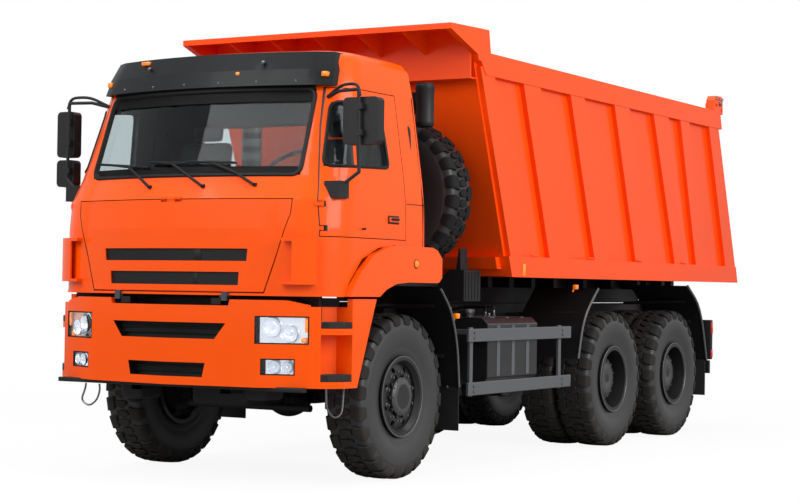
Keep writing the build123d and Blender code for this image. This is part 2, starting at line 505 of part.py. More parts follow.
visor_out = loft([visor_outline(*row) for row in VISOR_LEVELS], ruled=True)
visor_in = loft([visor_outline(row[0] + dz, *row[1:], t=22) for row, dz in zip(VISOR_LEVELS, (-10, 0, 10))], ruled=True)
visor = (visor_out - visor_in) & block(-1300, 1300, -1400, -560, DOOR_TOP - 75, DOOR_TOP + 325)
visor -= cab_outer
visor = sorted(visor.solids(), key=lambda s: -s.volume)[0]
for x in (-500, 500):
    visor += block(x - 20, x + 20, -918, -820, DOOR_TOP + 110, DOOR_TOP + 135) - cab_outer
visor = sorted(visor.solids(), key=lambda s: -s.volume)[0]
save("sun_visor", visor)

# fenders carried by the cab, over the front wheels
FENDER_OUT = [(-905, 1322), (-868, 1400), (-770, 1500), (-610, 1612), (-400, 1674), (-330, 1684), (215, 1684), (290, 1664), (362, 1604), (362, 1463), (320, 1430), (290, 1424), (-120, 1426), (-300, 1414), (-440, 1372), (-530, 1322)]
LINER = [(-905, 1322), (-860, 1420), (-700, 1580), (-480, 1665), (-260, 1690), (60, 1640), (170, 1560), (170, 1545), (55, 1625), (-260, 1674), (-475, 1650), (-688, 1567), (-845, 1412), (-888, 1322)]
fender = slab_x(FENDER_OUT, 1150, 1250) - cab_outer
fender += slab_x(LINER, 760, 1160)
fender -= shell
fender = sorted(fender.solids(), key=lambda s: -s.volume)[0]
save("fenders", Compound(children=[fender, *mirrored(fender).solids()]))

# cab inside
seat_base = None
for x in (-620, 620):
    s = block(x - 250, x + 250, -560, -60, 1740, 2010) + slab_x([(-120, 2000), (-20, 2000), (60, 2620), (-20, 2620)], x - 240, x + 240)
    seat_base = s if seat_base is None else seat_base + s
dash = slab_z([(-1000, -760), (1000, -760), (1000, -830), (860, -960), (-860, -960), (-1000, -830)], 1740, 2120)
interior = Compound(children=[*seat_base.solids(), *dash.solids()])
wheel_c = (620, -640, 2170)
column = rod((620, -780, 2080), (620, -660, 2160), 28)
ring = Pos(*wheel_c) * Rot(35, 0, 0) * Torus(225, 17)
spokes = Pos(*wheel_c) * Rot(35, 0, 0) * (Box(440, 40, 18) + Box(40, 440, 18))
interior = Compound(children=[*seat_base.solids(), *(dash + column + ring + spokes).solids()])
save("cab_interior", interior)

# wipers
wip = None
WIPERS = ((-560, -860, 1195), (-60, -420, 1212), (440, 80, 1205))
for x0, x1, yb in WIPERS:
    a = rod((x0, -yb - 22, 2105), (x1, -yb - 2 + (60 if x1 < -700 else 0), 2195), 8)
    a += rod((x0, -yb + 40, 2105), (x0, -yb - 26, 2105), 14) - shell
    wip = a if wip is None else wip + a
save("wipers", Compound(children=wip.solids()))

# mirrors ride on the doors
def housing(x0, x1, y0, y1, z0, z1):
    """A mirror housing with its upright edges and its ends rounded."""
    box = block(x0, x1, y0, y1, z0, z1)
    return fillet(box.edges().filter_by(Axis.Y), 34)


def mirror_unit(tube, cases, clamps):
    """One mirror: its tube, its housings, the clamps between them and the bracket on the door."""
    shape = tube_path(tube, 12) + block(1075, 1200, -1000, -880, 1992, 2108)
    for box in cases:
        shape += housing(*box)
    for z in clamps:
        shape += block(1258, 1306, -902, -840, z - 20, z + 20)
    shape -= cab_outer
    return sorted(shape.solids(), key=lambda s: -s.volume)[0]


TUBE = ((960, -790, DOOR_TOP - 75), (1090, -850, DOOR_TOP - 40), (1272, -890, DOOR_TOP - 40), (1284, -890, 2172), (1150, -935, 2062))
mir = mirror_unit(TUBE, ((1130, 1412, -862, -780, DOOR_TOP - 414, DOOR_TOP - 89),), (DOOR_TOP - 335, DOOR_TOP - 155))
save("mirror_left", mir)
mir = mirror_unit(TUBE, ((1246, 1412, -862, -780, DOOR_TOP - 443, DOOR_TOP - 99), (1246, 1412, -862, -780, DOOR_TOP - 665, DOOR_TOP - 463)), (DOOR_TOP - 545, DOOR_TOP - 335, DOOR_TOP - 175))
save("mirror_right", mirrored(mir))

# ---------------------------------------------------------------- behind the cab
intake = cyl_z(760, 480, 95, 1460, 2960) + block(690, 830, 400, 1060, 1400, 1470)
intake += cyl_z(1060, 400, 68, 2600, 2915) + block(760, 1060, 360, 440, 2690, 2850)
intake += slab_y([(700, 1290), (1060, 1290), (1060, 1532), (930, 1532), (800, 1440), (700, 1440)], 1055, 1330) + block(RAIL_X, 760, 1120, 1260, 1200, 1292)
intake += slab_y([(975, 1520), (1020, 1520), (1012, 1700), (1000, 1700)], 1075, 1190)
intake += block(RAIL_X, 500, 1120, 1260, 1000, 1210)
save("air_intake", intake)

SPARE = (560.0, 865.0, 2100.0)
carrier = block(350, 690, 1040, 1100, SUB_TOP - 30, SUB_TOP + 40) + block(500, 620, 1040, 1085, SUB_TOP + 40, 2160)
carrier += cyl_y(SPARE[0], SPARE[2], 60, 845, 1040)
save("spare_carrier", carrier)
save("spare_tyre", Pos(*SPARE) * Rot(0, 0, -90) * tyre0)
save("spare_rim", Pos(*SPARE) * Rot(0, 0, -90) * front_rim0)

# ---------------------------------------------------------------- side equipment
tank = slab_y([(620, 640), (1130, 640), (1180, 690), (1180, 1110), (1130, 1160), (620, 1160)], 1240, 2120)
tank += block(RAIL_X, 640, 1330, 1400, 900, 1000) + block(RAIL_X, 640, 1960, 2030, 900, 1000)
tank += cyl_z(900, 1420, 50, 1150, 1190)
save("fuel_tank", tank)
equip = None
for y in range(1350, int(WHEELBASE - 1300), 300):
    c = cyl_x(y, 780, 130, -1120, -560)
    equip = c if equip is None else equip + c
equip += block(-1150, -560, 1150, WHEELBASE - 1150, 900, 960) + block(-1150, -620, 1200, 1700, 955, 1150)
equip += block(-640, -RAIL_X, 1300, 1360, 900, 990) + block(-640, -RAIL_X, WHEELBASE - 1350, WHEELBASE - 1290, 900, 990)
save("air_tanks", equip)
exhaust = cyl_z(-560, 480, 75, 1290, 2850) + rod((-560, 480, 1330), (-560, 800, 1330), 55)
exhaust += rod((-560, 800, 1380), (-590, 800, 930), 55) + cyl_y(-590, 920, 118, 700, 1070)
exhaust += block(-560, -RAIL_X, 900, 960, 900, 940)
save("exhaust", exhaust)

guards = None
for z0, z1 in ((980, 1080), (570, 670)):
    g = block(1203, 1228, 840, WHEELBASE - 920, z0, z1)
    guards = g if guards is None else guards + g
for y in (928, WHEELBASE - 1090):
    guards += block(1178, 1203, y - 25, y + 25, 560, 1090)
for y in (1100, WHEELBASE - 1220):
    guards += block(RAIL_X, 1203, y - 20, y + 20, 1030, 1070)
save("side_guard_left", guards)
save("side_guard_right", mirrored(guards))

# ---------------------------------------------------------------- mudguards and flaps
def strip(pts, t, x0, x1):
    """A plate of thickness t along a (y, z) polyline."""
    up = []
    dn = []
    for i, (y, z) in enumerate(pts):
        a = pts[max(i - 1, 0)]
        b = pts[min(i + 1, len(pts) - 1)]
        dy, dz = b[0] - a[0], b[1] - a[1]
        n = hypot(dy, dz)
        up.append((y - dz / n * t / 2, z + dy / n * t / 2))
        dn.append((y + dz / n * t / 2, z - dy / n * t / 2))
    return slab_x(up + dn[::-1], x0, x1)


guard_f = strip([(430, 1380), (600, 1220), (700, 960), (735, 640)], 8, 760, 1200)
guard_f += block(760, 1190, 735, 743, 310, 660)
guard_f += block(RAIL_X, 780, 640, 680, 1062, 1100)
guard_r = strip([(WHEELBASE - 740, 800), (WHEELBASE - 640, 1150), (WHEELBASE - 340, 1400)], 8, 600, 1215) + block(RAIL_X, 620, WHEELBASE - 675, WHEELBASE - 610, 1040, 1100)
guard_b = strip([(REAR_Y + 350, 1440), (REAR_Y + 710, 1230), (REAR_Y + 890, 700)], 8, 600, 1215) + block(RAIL_X, 620, REAR_Y + 730, REAR_Y + 790, 1040, 1100)
guard_b += block(640, 1200, REAR_Y + 890, REAR_Y + 896, 350, 705)
save("mudguards_left", Compound(children=[*guard_f.solids(), *guard_r.solids(), *guard_b.solids()]))
guard_all = [mirrored(g) for g in (guard_f, guard_r, guard_b)]
save("mudguards_right", Compound(children=[s for g in guard_all for s in g.solids()]))

hitch = block(-RAIL_X, RAIL_X, FRAME_Y1, FRAME_Y1 + 50, 700, 1000) + both(block(RAIL_X - 80, RAIL_X, FRAME_Y1 - 50, FRAME_Y1 + 45, 690, RAIL_TOP - RAIL_H))
hitch += block(-1160, 1160, FRAME_Y1 - 10, FRAME_Y1 + 30, 560, 690)
eye = block(-60, 60, FRAME_Y1 + 50, FRAME_Y1 + 180, 780, 900) - cyl_z(0, FRAME_Y1 + 110, 25, 700, 1000)
hitch += eye
save("rear_hitch", hitch)

# ---------------------------------------------------------------- body
BX = BED_SKIN
TOP_Z = 3190.0
front_top_y = 862.0


def front_y(z):
    return 1523.0 - (z - 1484.0) * RAKE


def rear_y(z):
    return HINGE_Y + 527 - (z - 1500.0) * 0.326


# tub: side sheets, floor and front wall
side_out = [(front_y(BED_FLOOR_Z), BED_FLOOR_Z), (front_y(TOP_Z), TOP_Z), (rear_y(TOP_Z), TOP_Z), (rear_y(BED_FLOOR_Z), BED_FLOOR_Z)]
T = 40.0
outer = slab_x(side_out, -BX, BX)
inner_pts = [(front_y(BED_FLOOR_Z + 50) + 45, BED_FLOOR_Z + 50), (front_y(TOP_Z + 50) + 45, TOP_Z + 50), (rear_y(TOP_Z + 50) + 200, TOP_Z + 50), (rear_y(BED_FLOOR_Z + 50) + 200, BED_FLOOR_Z + 50)]
inner = slab_x(inner_pts, -BX + T, BX - T)
bed = outer - inner
# side rails and posts
rail_top = slab_x([(front_y(3040) + 90, 3040), (front_y(3215), 3215), (rear_y(3215), 3215), (rear_y(3040), 3040)], BX - 5, BED_W)
rail_bot = slab_x([(front_y(1484), 1484), (front_y(1650), 1650), (rear_y(1650), 1650), (rear_y(1484), 1484)], BX - 5, BED_W)
bed += both(rail_top) + both(rail_bot)
POSTS = ((949, 1170, 1520, 1740), (1675, 1985, 2236, 2560), (2568, 2848, 3144, 3440), (3494, 3834, 4058, 4390), (4399, 4769, 5016, 5390), (5078, 5318, 5571, 5810), (HINGE_Y - 350, HINGE_Y - 80, HINGE_Y + 200, HINGE_Y + 490))
for t0, t1, b0, b1 in POSTS:
    bed += both(slab_x([(b0, 1600), (t0, 3100), (t1, 3100), (b1, 1600)], BX - 5, BED_W - 6))
# canopy over the cab: a top plate on ribs, with a lip front and rear
CANOPY_Y0, CANOPY_Y1 = 458.0, 1075.0
bed += slab_x([(CANOPY_Y0, 3358), (CANOPY_Y0, 3372), (CANOPY_Y1, 3392), (CANOPY_Y1, 3378)], -BED_W, BED_W)
bed += block(-BED_W, BED_W, CANOPY_Y0, CANOPY_Y0 + 14, 3328, 3368)
bed += slab_x([(CANOPY_Y1 - 12, 3330), (CANOPY_Y1 - 12, 3385), (CANOPY_Y1, 3385), (CANOPY_Y1, 3330)], -BED_W, BED_W)
CANOPY_RIBS = (0.0, 400.0, 800.0)
rib_pts = [(CANOPY_Y0 + 6, 3334), (CANOPY_Y0 + 6, 3366), (CANOPY_Y1 - 4, 3384), (CANOPY_Y1 - 4, 3340), (front_y(3180) + 45, 3180), (front_y(3180) + 8, 3180)]
for x in CANOPY_RIBS:
    for sx in {x, -x}:
        bed += slab_x(rib_pts, sx - 7, sx + 7)
side_pts = [(CANOPY_Y0, 3328), (CANOPY_Y0, 3372), (CANOPY_Y1, 3392), (1110, 3205), (1130, 3140), (front_y(3140) + 3, 3140), (front_y(3190), 3186)]
bed += both(slab_x(side_pts, BX - 5, BED_W))
bed += block(-BX, BX, 862, 876, 3000, 3382) + block(-BX, BX, 870, 985, 3000, 3012)
bed += slab_x([(front_y(1545) - 70, 1545), (front_y(1640) - 70, 1640), (front_y(1640) + 10, 1640), (front_y(1545) + 10, 1545)], -BX + 40, BX - 40)
# floor beams and hinge ears
under = both(block(355, 425, 1560, HINGE_Y + 360, HINGE_Z + 86, BED_FLOOR_Z))
under += both(block(355, 425, 1560, HINGE_Y - 160, SUB_TOP - 25, 1400))
for y in (1620, 1750, EYE_Y - 620, EYE_Y - 210, EYE_Y + 220, EYE_Y + 680, 4350, 5000, HINGE_Y - 550, HINGE_Y + 100, HINGE_Y + 360):
    under += block(-590, 590, y - 40, y + 40, 1400, BED_FLOOR_Z)
ear = slab_x([(HINGE_Y - 120, BED_FLOOR_Z), (HINGE_Y - 60, HINGE_Z - 60), (HINGE_Y + 60, HINGE_Z - 60), (HINGE_Y + 140, BED_FLOOR_Z)], RAIL_X + 8, RAIL_X + 58)
under += both(ear) + both(block(RAIL_X - 10, RAIL_X + 58, HINGE_Y - 90, HINGE_Y + 120, 1400, BED_FLOOR_Z))
under += cyl_x(HINGE_Y, HINGE_Z, 35, -RAIL_X - 58, RAIL_X + 58)
# lugs for the hoist's cross pin, hung between two stringers, with a slanting slot that gives it play
under += both(block(112, 150, EYE_Y - 220, EYE_Y + 220, 1440, BED_FLOOR_Z)) + both(block(112, 150, EYE_Y - 60, EYE_Y + 95, EYE_Z - 95, BED_FLOOR_Z))
for dy, dz in SLOT_RUN:
    under -= cyl_x(EYE_Y + dy, EYE_Z + dz, HOIST_PIN_R + 6, -200, 200)
save("bed_frame", under)
# tailgate ears
EAR_Y, EAR_Z = HINGE_Y - 50, 3290.0
top_ear = slab_x([(EAR_Y - 150, 3190), (EAR_Y - 150, 3320), (EAR_Y - 110, 3366), (EAR_Y + 50, 3372), (EAR_Y + 86, 3340), (EAR_Y + 90, 3190)], BX - 40, BED_W)
top_ear -= cyl_x(EAR_Y, EAR_Z, 22.1, BX - 100, BX + 100)
top_ear -= cyl_x(EAR_Y - 100, 3270, 20, BX - 100, BX + 100) + cyl_x(EAR_Y + 55, 3230, 16, BX - 100, BX + 100)
bed += both(top_ear)
save("dump_body", bed)

gate_half = BX - T - 8
gate = slab_x([(rear_y(1560) - 60, 1545), (rear_y(3150) - 60, 3150), (rear_y(3150) - 15, 3150), (rear_y(1560) - 15, 1545)], -gate_half, gate_half)
for x in (-900, -300, 300, 900):
    gate += slab_x([(rear_y(1600) - 20, 1600), (rear_y(3100) - 20, 3100), (rear_y(3100) + 30, 3100), (rear_y(1600) + 30, 1600)], x - 60, x + 60)
arm_g = slab_x([(rear_y(3100) - 60, 3060), (rear_y(3150) - 70, 3200), (EAR_Y - 50, EAR_Z + 10), (EAR_Y + 50, EAR_Z + 30), (rear_y(3100) - 15, 3060)], gate_half - 40, gate_half)
gate += both(arm_g) + both(cyl_x(EAR_Y, EAR_Z, 22, gate_half - 40, BX + 20))
save("tailgate", gate)

# ---------------------------------------------------------------- hoist
length0 = hypot(EYE_Y - BASE_Y, EYE_Z - BASE_Z)
ang = degrees(atan2(EYE_Z - BASE_Z, EYE_Y - BASE_Y))


def along(shape):
    """A shape drawn up z from the hoist's lower pin, leaned onto the hoist's line."""
    return Pos(0, BASE_Y, BASE_Z) * Rot(-(90 - ang), 0, 0) * shape


print("hoist closed length", length0, "lean", ang)
barrel = cyl_z(0, 0, 106, -15, length0 - 110) - cyl_z(0, 0, 96, -5, length0)
barrel += both(cyl_x(0, 0, 40, 98, 300))
save("hoist_barrel", along(barrel))
STAGES = ((1, 95.9, 84, -4, length0 - 95), (2, 83.9, 72, 6, length0 - 80), (3, 71.9, 60, 16, length0 - 65), (4, 59.9, 48, 26, length0 - 50))
for n, ro, ri, z0, z1 in STAGES:
    save(f"hoist_stage_{n}", along(cyl_z(0, 0, ro, z0, z1) - cyl_z(0, 0, ri, z0 + 10, z1 + 10)))
hrod = cyl_z(0, 0, 47.9, 37, length0 - 36) + Pos(0, 0, length0) * Rot(0, 90, 0) * Cylinder(45, 200)
hrod += Pos(0, 0, length0) * Rot(0, 90, 0) * Cylinder(HOIST_PIN_R, 310)
save("hoist_rod", along(hrod))
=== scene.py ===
"""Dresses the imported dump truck: finishes for every node, and the small pieces that sit on them."""
import json
import logging
import math
from dataclasses import dataclass
from enum import Enum
from typing import Callable, Iterable, Sequence

import bmesh
import bpy
from mathutils import Matrix, Vector


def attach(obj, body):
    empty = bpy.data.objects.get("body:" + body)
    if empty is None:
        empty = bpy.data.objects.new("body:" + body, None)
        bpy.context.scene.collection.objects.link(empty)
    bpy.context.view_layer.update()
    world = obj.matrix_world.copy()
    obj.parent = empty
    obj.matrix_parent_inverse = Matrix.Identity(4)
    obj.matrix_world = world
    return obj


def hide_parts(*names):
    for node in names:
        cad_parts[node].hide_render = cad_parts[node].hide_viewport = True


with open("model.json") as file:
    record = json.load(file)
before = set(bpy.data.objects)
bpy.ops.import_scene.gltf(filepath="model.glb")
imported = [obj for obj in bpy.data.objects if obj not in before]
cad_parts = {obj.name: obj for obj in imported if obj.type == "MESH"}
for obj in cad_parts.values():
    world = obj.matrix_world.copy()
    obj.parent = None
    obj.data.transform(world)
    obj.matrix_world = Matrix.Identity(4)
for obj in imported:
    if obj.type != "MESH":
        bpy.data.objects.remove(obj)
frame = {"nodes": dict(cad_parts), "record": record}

logging.basicConfig(level=logging.INFO, format="%(message)s")
LOG = logging.getLogger("dump_truck")

Point = Sequence[float]
Pairs = Sequence[tuple[float, float]]
Triple = tuple[float, float, float]
FRONT_AXLE_Y = -2.685
"""Where the front axle stands; sizes below count y from it, in metres."""
SIDES = (("left", 1), ("right", -1))
"""Each side of the truck and the sign of its x."""
GREY = (0.5, 0.5, 0.5, 1)
"""The colour of a shader input that nothing has been given to."""
COAT_ROUGHNESS = 0.08
"""How matt the clear coat over a paint is."""
BUMP_DISTANCE = 0.002
"""How deep the fine relief looks, in metres."""
CLEAR = 0.5
"""A finish that lets more light through than this is clear glass."""
SHADOW_PASSED = 0.75
"""The share of a lamp's light that clear glass lets past."""


def srgb(red: float, green: float, blue: float) -> tuple[float, float, float, float]:
    """Turns a display colour, 0 to 255 a channel, into the linear colour a shader takes.

    Args:
        red: Red channel.
        green: Green channel.
        blue: Blue channel.

    Returns:
        The linear colour with an alpha of 1.
    """
    def linear(value: float) -> float:
        """Returns one channel in linear light."""
        c = value / 255.0
        return c / 12.92 if c <= 0.04045 else ((c + 0.055) / 1.055) ** 2.4
    return (linear(red), linear(green), linear(blue), 1.0)


def fill(node: bpy.types.Node, values: dict[str | int, object]) -> bpy.types.Node:
    """Sets some inputs of a node.

    Args:
        node: The node.
        values: The values, by the name or the number of the input.

    Returns:
        The node.
    """
    for key, value in values.items():
        node.inputs[key].default_value = value
    return node


def node_adder(tree: bpy.types.NodeTree) -> Callable[..., bpy.types.Node]:
    """Gives a helper that adds nodes to a tree.

    Args:
        tree: The node tree.

    Returns:
        A function that takes a node's kind, its operation if it has one, and its input values.
    """
    def add(kind: str, operation: str = "", inputs: dict[str | int, object] | None = None) -> bpy.types.Node:
        """Adds one node and returns it."""
        node = tree.nodes.new(f"ShaderNode{kind}")
        if operation:
            node.operation = operation
        return fill(node, inputs or {})
    return add


# ------------------------------------------------------------------ shader groups
class Effect(Enum):
    """The shader effects that several finishes share."""

    TONE = "surface_tone"
    GRAIN = "moulded_grain"
    DUST = "road_dust"


class EffectShelf:
    """Builds each shared shader group once and hands it out."""

    def __init__(self) -> None:
        """Makes all the groups."""
        self.groups: dict[Effect, bpy.types.NodeTree] = {
            Effect.TONE: self._tone(),
            Effect.GRAIN: self._grain(),
            Effect.DUST: self._dust(),
        }

    def use(self, tree: bpy.types.NodeTree, effect: Effect, inputs: dict[str | int, object]) -> bpy.types.Node:
        """Adds a shared group to a material.

        Args:
            tree: The material's node tree.
            effect: The effect.
            inputs: The values of the group's inputs.

        Returns:
            The group's node.
        """
        node = tree.nodes.new("ShaderNodeGroup")
        node.node_tree = self.groups[effect]
        return fill(node, inputs)

    @staticmethod
    def _group(effect: Effect, inputs: dict[str, object],
               outputs: dict[str, str]) -> tuple[bpy.types.NodeTree, bpy.types.Node, bpy.types.Node]:
        """Starts a group with its sockets.

        Args:
            effect: The effect that it makes.
            inputs: The default of each input; a single number makes a number socket, four a colour.
            outputs: The kind of each output, Float or Color.

        Returns:
            The group, and the nodes where its inputs come in and its outputs go out.
        """
        tree = bpy.data.node_groups.new(effect.value, "ShaderNodeTree")
        for name, value in inputs.items():
            kind = "Float" if isinstance(value, float) else "Color"
            tree.interface.new_socket(name=name, in_out="INPUT", socket_type=f"NodeSocket{kind}").default_value = value
        for name, kind in outputs.items():
            tree.interface.new_socket(name=name, in_out="OUTPUT", socket_type=f"NodeSocket{kind}")
        return tree, tree.nodes.new("NodeGroupInput"), tree.nodes.new("NodeGroupOutput")

    def _tone(self) -> bpy.types.NodeTree:
        """Builds the slow change of colour and gloss over a surface."""
        tree, given, out = self._group(Effect.TONE, {"Colour": GREY, "Amount": 0.1, "Size": 2.0, "Roughness": 0.4},
                                       {"Colour": "Color", "Roughness": "Float"})
        add, link = node_adder(tree), tree.links.new
        coord, noise = add("TexCoord"), add("TexNoise", inputs={"Detail": 4.0})
        centred, scaled = add("Math", "SUBTRACT", {1: 0.5}), add("Math", "MULTIPLY")
        value, hsv, rough = add("Math", "ADD", {1: 1.0}), add("HueSaturation"), add("Math", "MULTIPLY")
        rough.use_clamp = True
        link(coord.outputs["Object"], noise.inputs["Vector"])
        link(given.outputs["Size"], noise.inputs["Scale"])
        link(noise.outputs["Fac"], centred.inputs[0])
        link(centred.outputs[0], scaled.inputs[0])
        link(given.outputs["Amount"], scaled.inputs[1])
        link(scaled.outputs[0], value.inputs[0])
        link(given.outputs["Colour"], hsv.inputs["Color"])
        link(value.outputs[0], hsv.inputs["Value"])
        link(given.outputs["Roughness"], rough.inputs[0])
        link(value.outputs[0], rough.inputs[1])
        link(hsv.outputs["Color"], out.inputs["Colour"])
        link(rough.outputs[0], out.inputs["Roughness"])
        return tree

    def _grain(self) -> bpy.types.NodeTree:
        """Builds the fine relief of a moulded, cast or sprayed skin."""
        tree, given, out = self._group(Effect.GRAIN, {"Size": 300.0, "Depth": 0.2}, {"Height": "Float"})
        add, link = node_adder(tree), tree.links.new
        coord, noise, height = add("TexCoord"), add("TexNoise", inputs={"Detail": 3.0}), add("Math", "MULTIPLY")
        link(coord.outputs["Object"], noise.inputs["Vector"])
        link(given.outputs["Size"], noise.inputs["Scale"])
        link(noise.outputs["Fac"], height.inputs[0])
        link(given.outputs["Depth"], height.inputs[1])
        link(height.outputs[0], out.inputs["Height"])
        return tree

    def _dust(self) -> bpy.types.NodeTree:
        """Builds the pale dust that lies thicker near the road."""
        tree, given, out = self._group(Effect.DUST, {"Colour": GREY, "Dust": srgb(120, 112, 100), "Amount": 0.1},
                                       {"Colour": "Color"})
        add, link = node_adder(tree), tree.links.new
        coord, noise = add("TexCoord"), add("TexNoise", inputs={"Scale": 6.0, "Detail": 6.0})
        split, low = add("SeparateXYZ"), add("MapRange", inputs={"From Min": 1.5, "From Max": 0.0})
        both, amount, mix = add("Math", "MULTIPLY"), add("Math", "MULTIPLY"), add("Mix")
        amount.use_clamp = True
        mix.data_type = "RGBA"
        link(coord.outputs["Object"], noise.inputs["Vector"])
        link(coord.outputs["Object"], split.inputs[0])
        link(split.outputs["Z"], low.inputs["Value"])
        link(noise.outputs["Fac"], both.inputs[0])
        link(low.outputs[0], both.inputs[1])
        link(both.outputs[0], amount.inputs[0])
        link(given.outputs["Amount"], amount.inputs[1])
        link(amount.outputs[0], mix.inputs["Factor"])
        link(given.outputs["Colour"], mix.inputs["A"])
        link(given.outputs["Dust"], mix.inputs["B"])
        link(mix.outputs["Result"], out.inputs["Colour"])
        return tree


@dataclass(frozen=True)
class Finish:
    """One finish of the truck and the numbers its shader takes."""

    name: str
    colour: tuple[float, float, float, float]
    roughness: float = 0.5
    metallic: float = 0.0
    coat: float = 0.0
    tone: float = 0.10
    tone_size: float = 3.0
    grain_size: float = 300.0
    grain_depth: float = 0.3
    grain_strength: float = 0.15
    dust: float = 0.0
    transmission: float = 0.0
    # A painted glow: the lenses, reflectors and markers that have it shine though no lamp is lit.
    emission: float = 0.0
    ior: float = 1.5
    specular: float = 0.4

    def build(self, shelf: EffectShelf) -> bpy.types.Material:
        """Makes the material.

        Args:
            shelf: The shared shader groups.

        Returns:
            The new material.
        """
        mat = bpy.data.materials.new(self.name)
        mat.use_nodes = True
        tree = mat.node_tree
        add, link = node_adder(tree), tree.links.new
        bsdf = fill(tree.nodes["Principled BSDF"], {
            "Base Color": self.colour, "Metallic": self.metallic, "IOR": self.ior, "Coat Weight": self.coat,
            "Coat Roughness": COAT_ROUGHNESS, "Specular IOR Level": self.specular,
            "Transmission Weight": self.transmission, "Roughness": self.roughness})
        # Painted glow on lenses whose lamps are off, and on reflectors and the number plate.
        if self.emission > 0:
            fill(bsdf, {"Emission Color": self.colour, "Emission Strength": self.emission})
        if self.transmission > CLEAR:
            self._let_light_through(tree, bsdf)
            return mat
        tone = shelf.use(tree, Effect.TONE, {"Colour": self.colour, "Amount": self.tone, "Size": self.tone_size,
                                             "Roughness": self.roughness})
        colour = tone.outputs["Colour"]
        if self.dust > 0:
            dust = shelf.use(tree, Effect.DUST, {"Amount": self.dust})
            link(colour, dust.inputs["Colour"])
            colour = dust.outputs["Colour"]
        link(colour, bsdf.inputs["Base Color"])
        link(tone.outputs["Roughness"], bsdf.inputs["Roughness"])
        grain = shelf.use(tree, Effect.GRAIN, {"Size": self.grain_size, "Depth": self.grain_depth})
        bump = add("Bump", inputs={"Strength": self.grain_strength, "Distance": BUMP_DISTANCE})
        link(grain.outputs["Height"], bump.inputs["Height"])
        link(bump.outputs["Normal"], bsdf.inputs["Normal"])
        return mat

    @staticmethod
    def _let_light_through(tree: bpy.types.NodeTree, bsdf: bpy.types.Node) -> None:
        """Makes clear glass nearly shadowless, so that what stands behind it is lit.

        Args:
            tree: The glass material's nodes.
            bsdf: Its shader.
        """
        add, link = node_adder(tree), tree.links.new
        path, shade = add("LightPath"), add("Math", "MULTIPLY", {1: SHADOW_PASSED})
        keep = add("Math", "SUBTRACT", {0: 1.0})
        keep.use_clamp = True
        link(path.outputs["Is Shadow Ray"], shade.inputs[0])
        link(shade.outputs[0], keep.inputs[1])
        link(keep.outputs[0], bsdf.inputs["Alpha"])


class Coat(Enum):
    """Every finish on the truck."""

    CAB_PAINT = Finish("cab_paint", srgb(255, 86, 2), 0.3, coat=0.25, tone=0.04, grain_size=180, grain_strength=0.01,
                       specular=0.15)
    BODY_PAINT = Finish("body_paint", srgb(255, 79, 10), 0.38, coat=0.18, tone=0.06, grain_size=120,
                        grain_strength=0.03, specular=0.12)
    TRIM = Finish("black_trim", srgb(27, 27, 29), 0.5, tone=0.10, grain_size=700, grain_strength=0.2, specular=0.3)
    VISOR = Finish("visor_plastic", srgb(32, 33, 34), 0.38, coat=0.04, tone=0.06, grain_size=500,
                   grain_strength=0.06, specular=0.12)
    # Casing and tread are one rubber: the casing is painted lighter where the sidewalls catch the light, and the tread
    # darker as painted shade.
    TYRE_PAINTED_LIGHT = Finish("tyre_rubber", srgb(50, 50, 51), 0.46, tone=0.12, tone_size=9, grain_size=420, grain_strength=0.12,
                  dust=0.1, specular=0.5)
    TREAD_PAINTED_SHADE = Finish("tread_rubber_painted_shade", srgb(26, 26, 27), 0.72, tone=0.2, tone_size=12, grain_size=380,
                   grain_strength=0.3, dust=0.3, specular=0.2)
    RIM = Finish("rim_paint", srgb(24, 24, 26), 0.36, tone=0.12, tone_size=8, grain_size=260, grain_strength=0.1,
                 dust=0.15)
    HUB = Finish("hub_paint", srgb(66, 67, 69), 0.38, tone=0.12, tone_size=8, grain_size=260, grain_strength=0.15,
                 dust=0.15)
    CHASSIS = Finish("chassis_paint", srgb(14, 14, 16), 0.5, tone=0.2, tone_size=5, grain_size=220,
                     grain_strength=0.2, dust=0.12, specular=0.3)
    CASTING = Finish("casting_paint", srgb(26, 26, 28), 0.62, tone=0.2, tone_size=7, grain_size=150,
                     grain_strength=0.45, dust=0.15, specular=0.3)
    GUARD = Finish("guard_paint", srgb(100, 102, 105), 0.36, metallic=0.35, tone=0.08, grain_size=240,
                   grain_strength=0.06, dust=0.1)
    FLAP = Finish("flap_rubber", srgb(30, 30, 31), 0.6, tone=0.12, grain_size=380, grain_strength=0.25, dust=0.12,
                  specular=0.3)
    TANK = Finish("tank_paint", srgb(30, 31, 33), 0.28, coat=0.3, tone=0.12, tone_size=4, grain_size=200,
                  grain_strength=0.06, dust=0.1)
    CABIN = Finish("cabin_plastic", srgb(64, 66, 70), 0.6, tone=0.08, grain_size=600, grain_strength=0.2)
    SEAT = Finish("seat_cloth", srgb(58, 60, 66), 0.85, tone=0.15, grain_size=900, grain_strength=0.5)
    RUBBER = Finish("gasket_rubber", srgb(16, 16, 17), 0.55, tone=0.08, grain_size=500, grain_strength=0.15,
                    specular=0.25)
    GLASS = Finish("window_glass", (0.66, 0.72, 0.73, 1), 0.01, transmission=1.0, ior=1.2)
    LENS = Finish("lamp_lens", (0.97, 0.98, 1.0, 1), 0.02, transmission=1.0, ior=1.25)
    # The faint emission of these four finishes is a painted glow; none of these lenses, reflectors, markers or the
    # number plate is lit.
    AMBER = Finish("amber_lens", srgb(255, 130, 16), 0.2, coat=0.6, emission=0.25)
    RED = Finish("red_lens", srgb(196, 16, 14), 0.18, coat=0.6, emission=0.2)
    PALE = Finish("pale_marker", srgb(220, 224, 228), 0.25, coat=0.4, emission=0.1)
    CHROME = Finish("polished_steel", srgb(205, 207, 210), 0.12, metallic=1.0, tone=0.03)
    REFLECTOR = Finish("lamp_reflector", srgb(226, 230, 236), 0.22, metallic=0.75, tone=0.04, emission=0.12)
    ZINC = Finish("zinc_plate", srgb(120, 122, 126), 0.35, metallic=0.9, tone=0.12, tone_size=20)


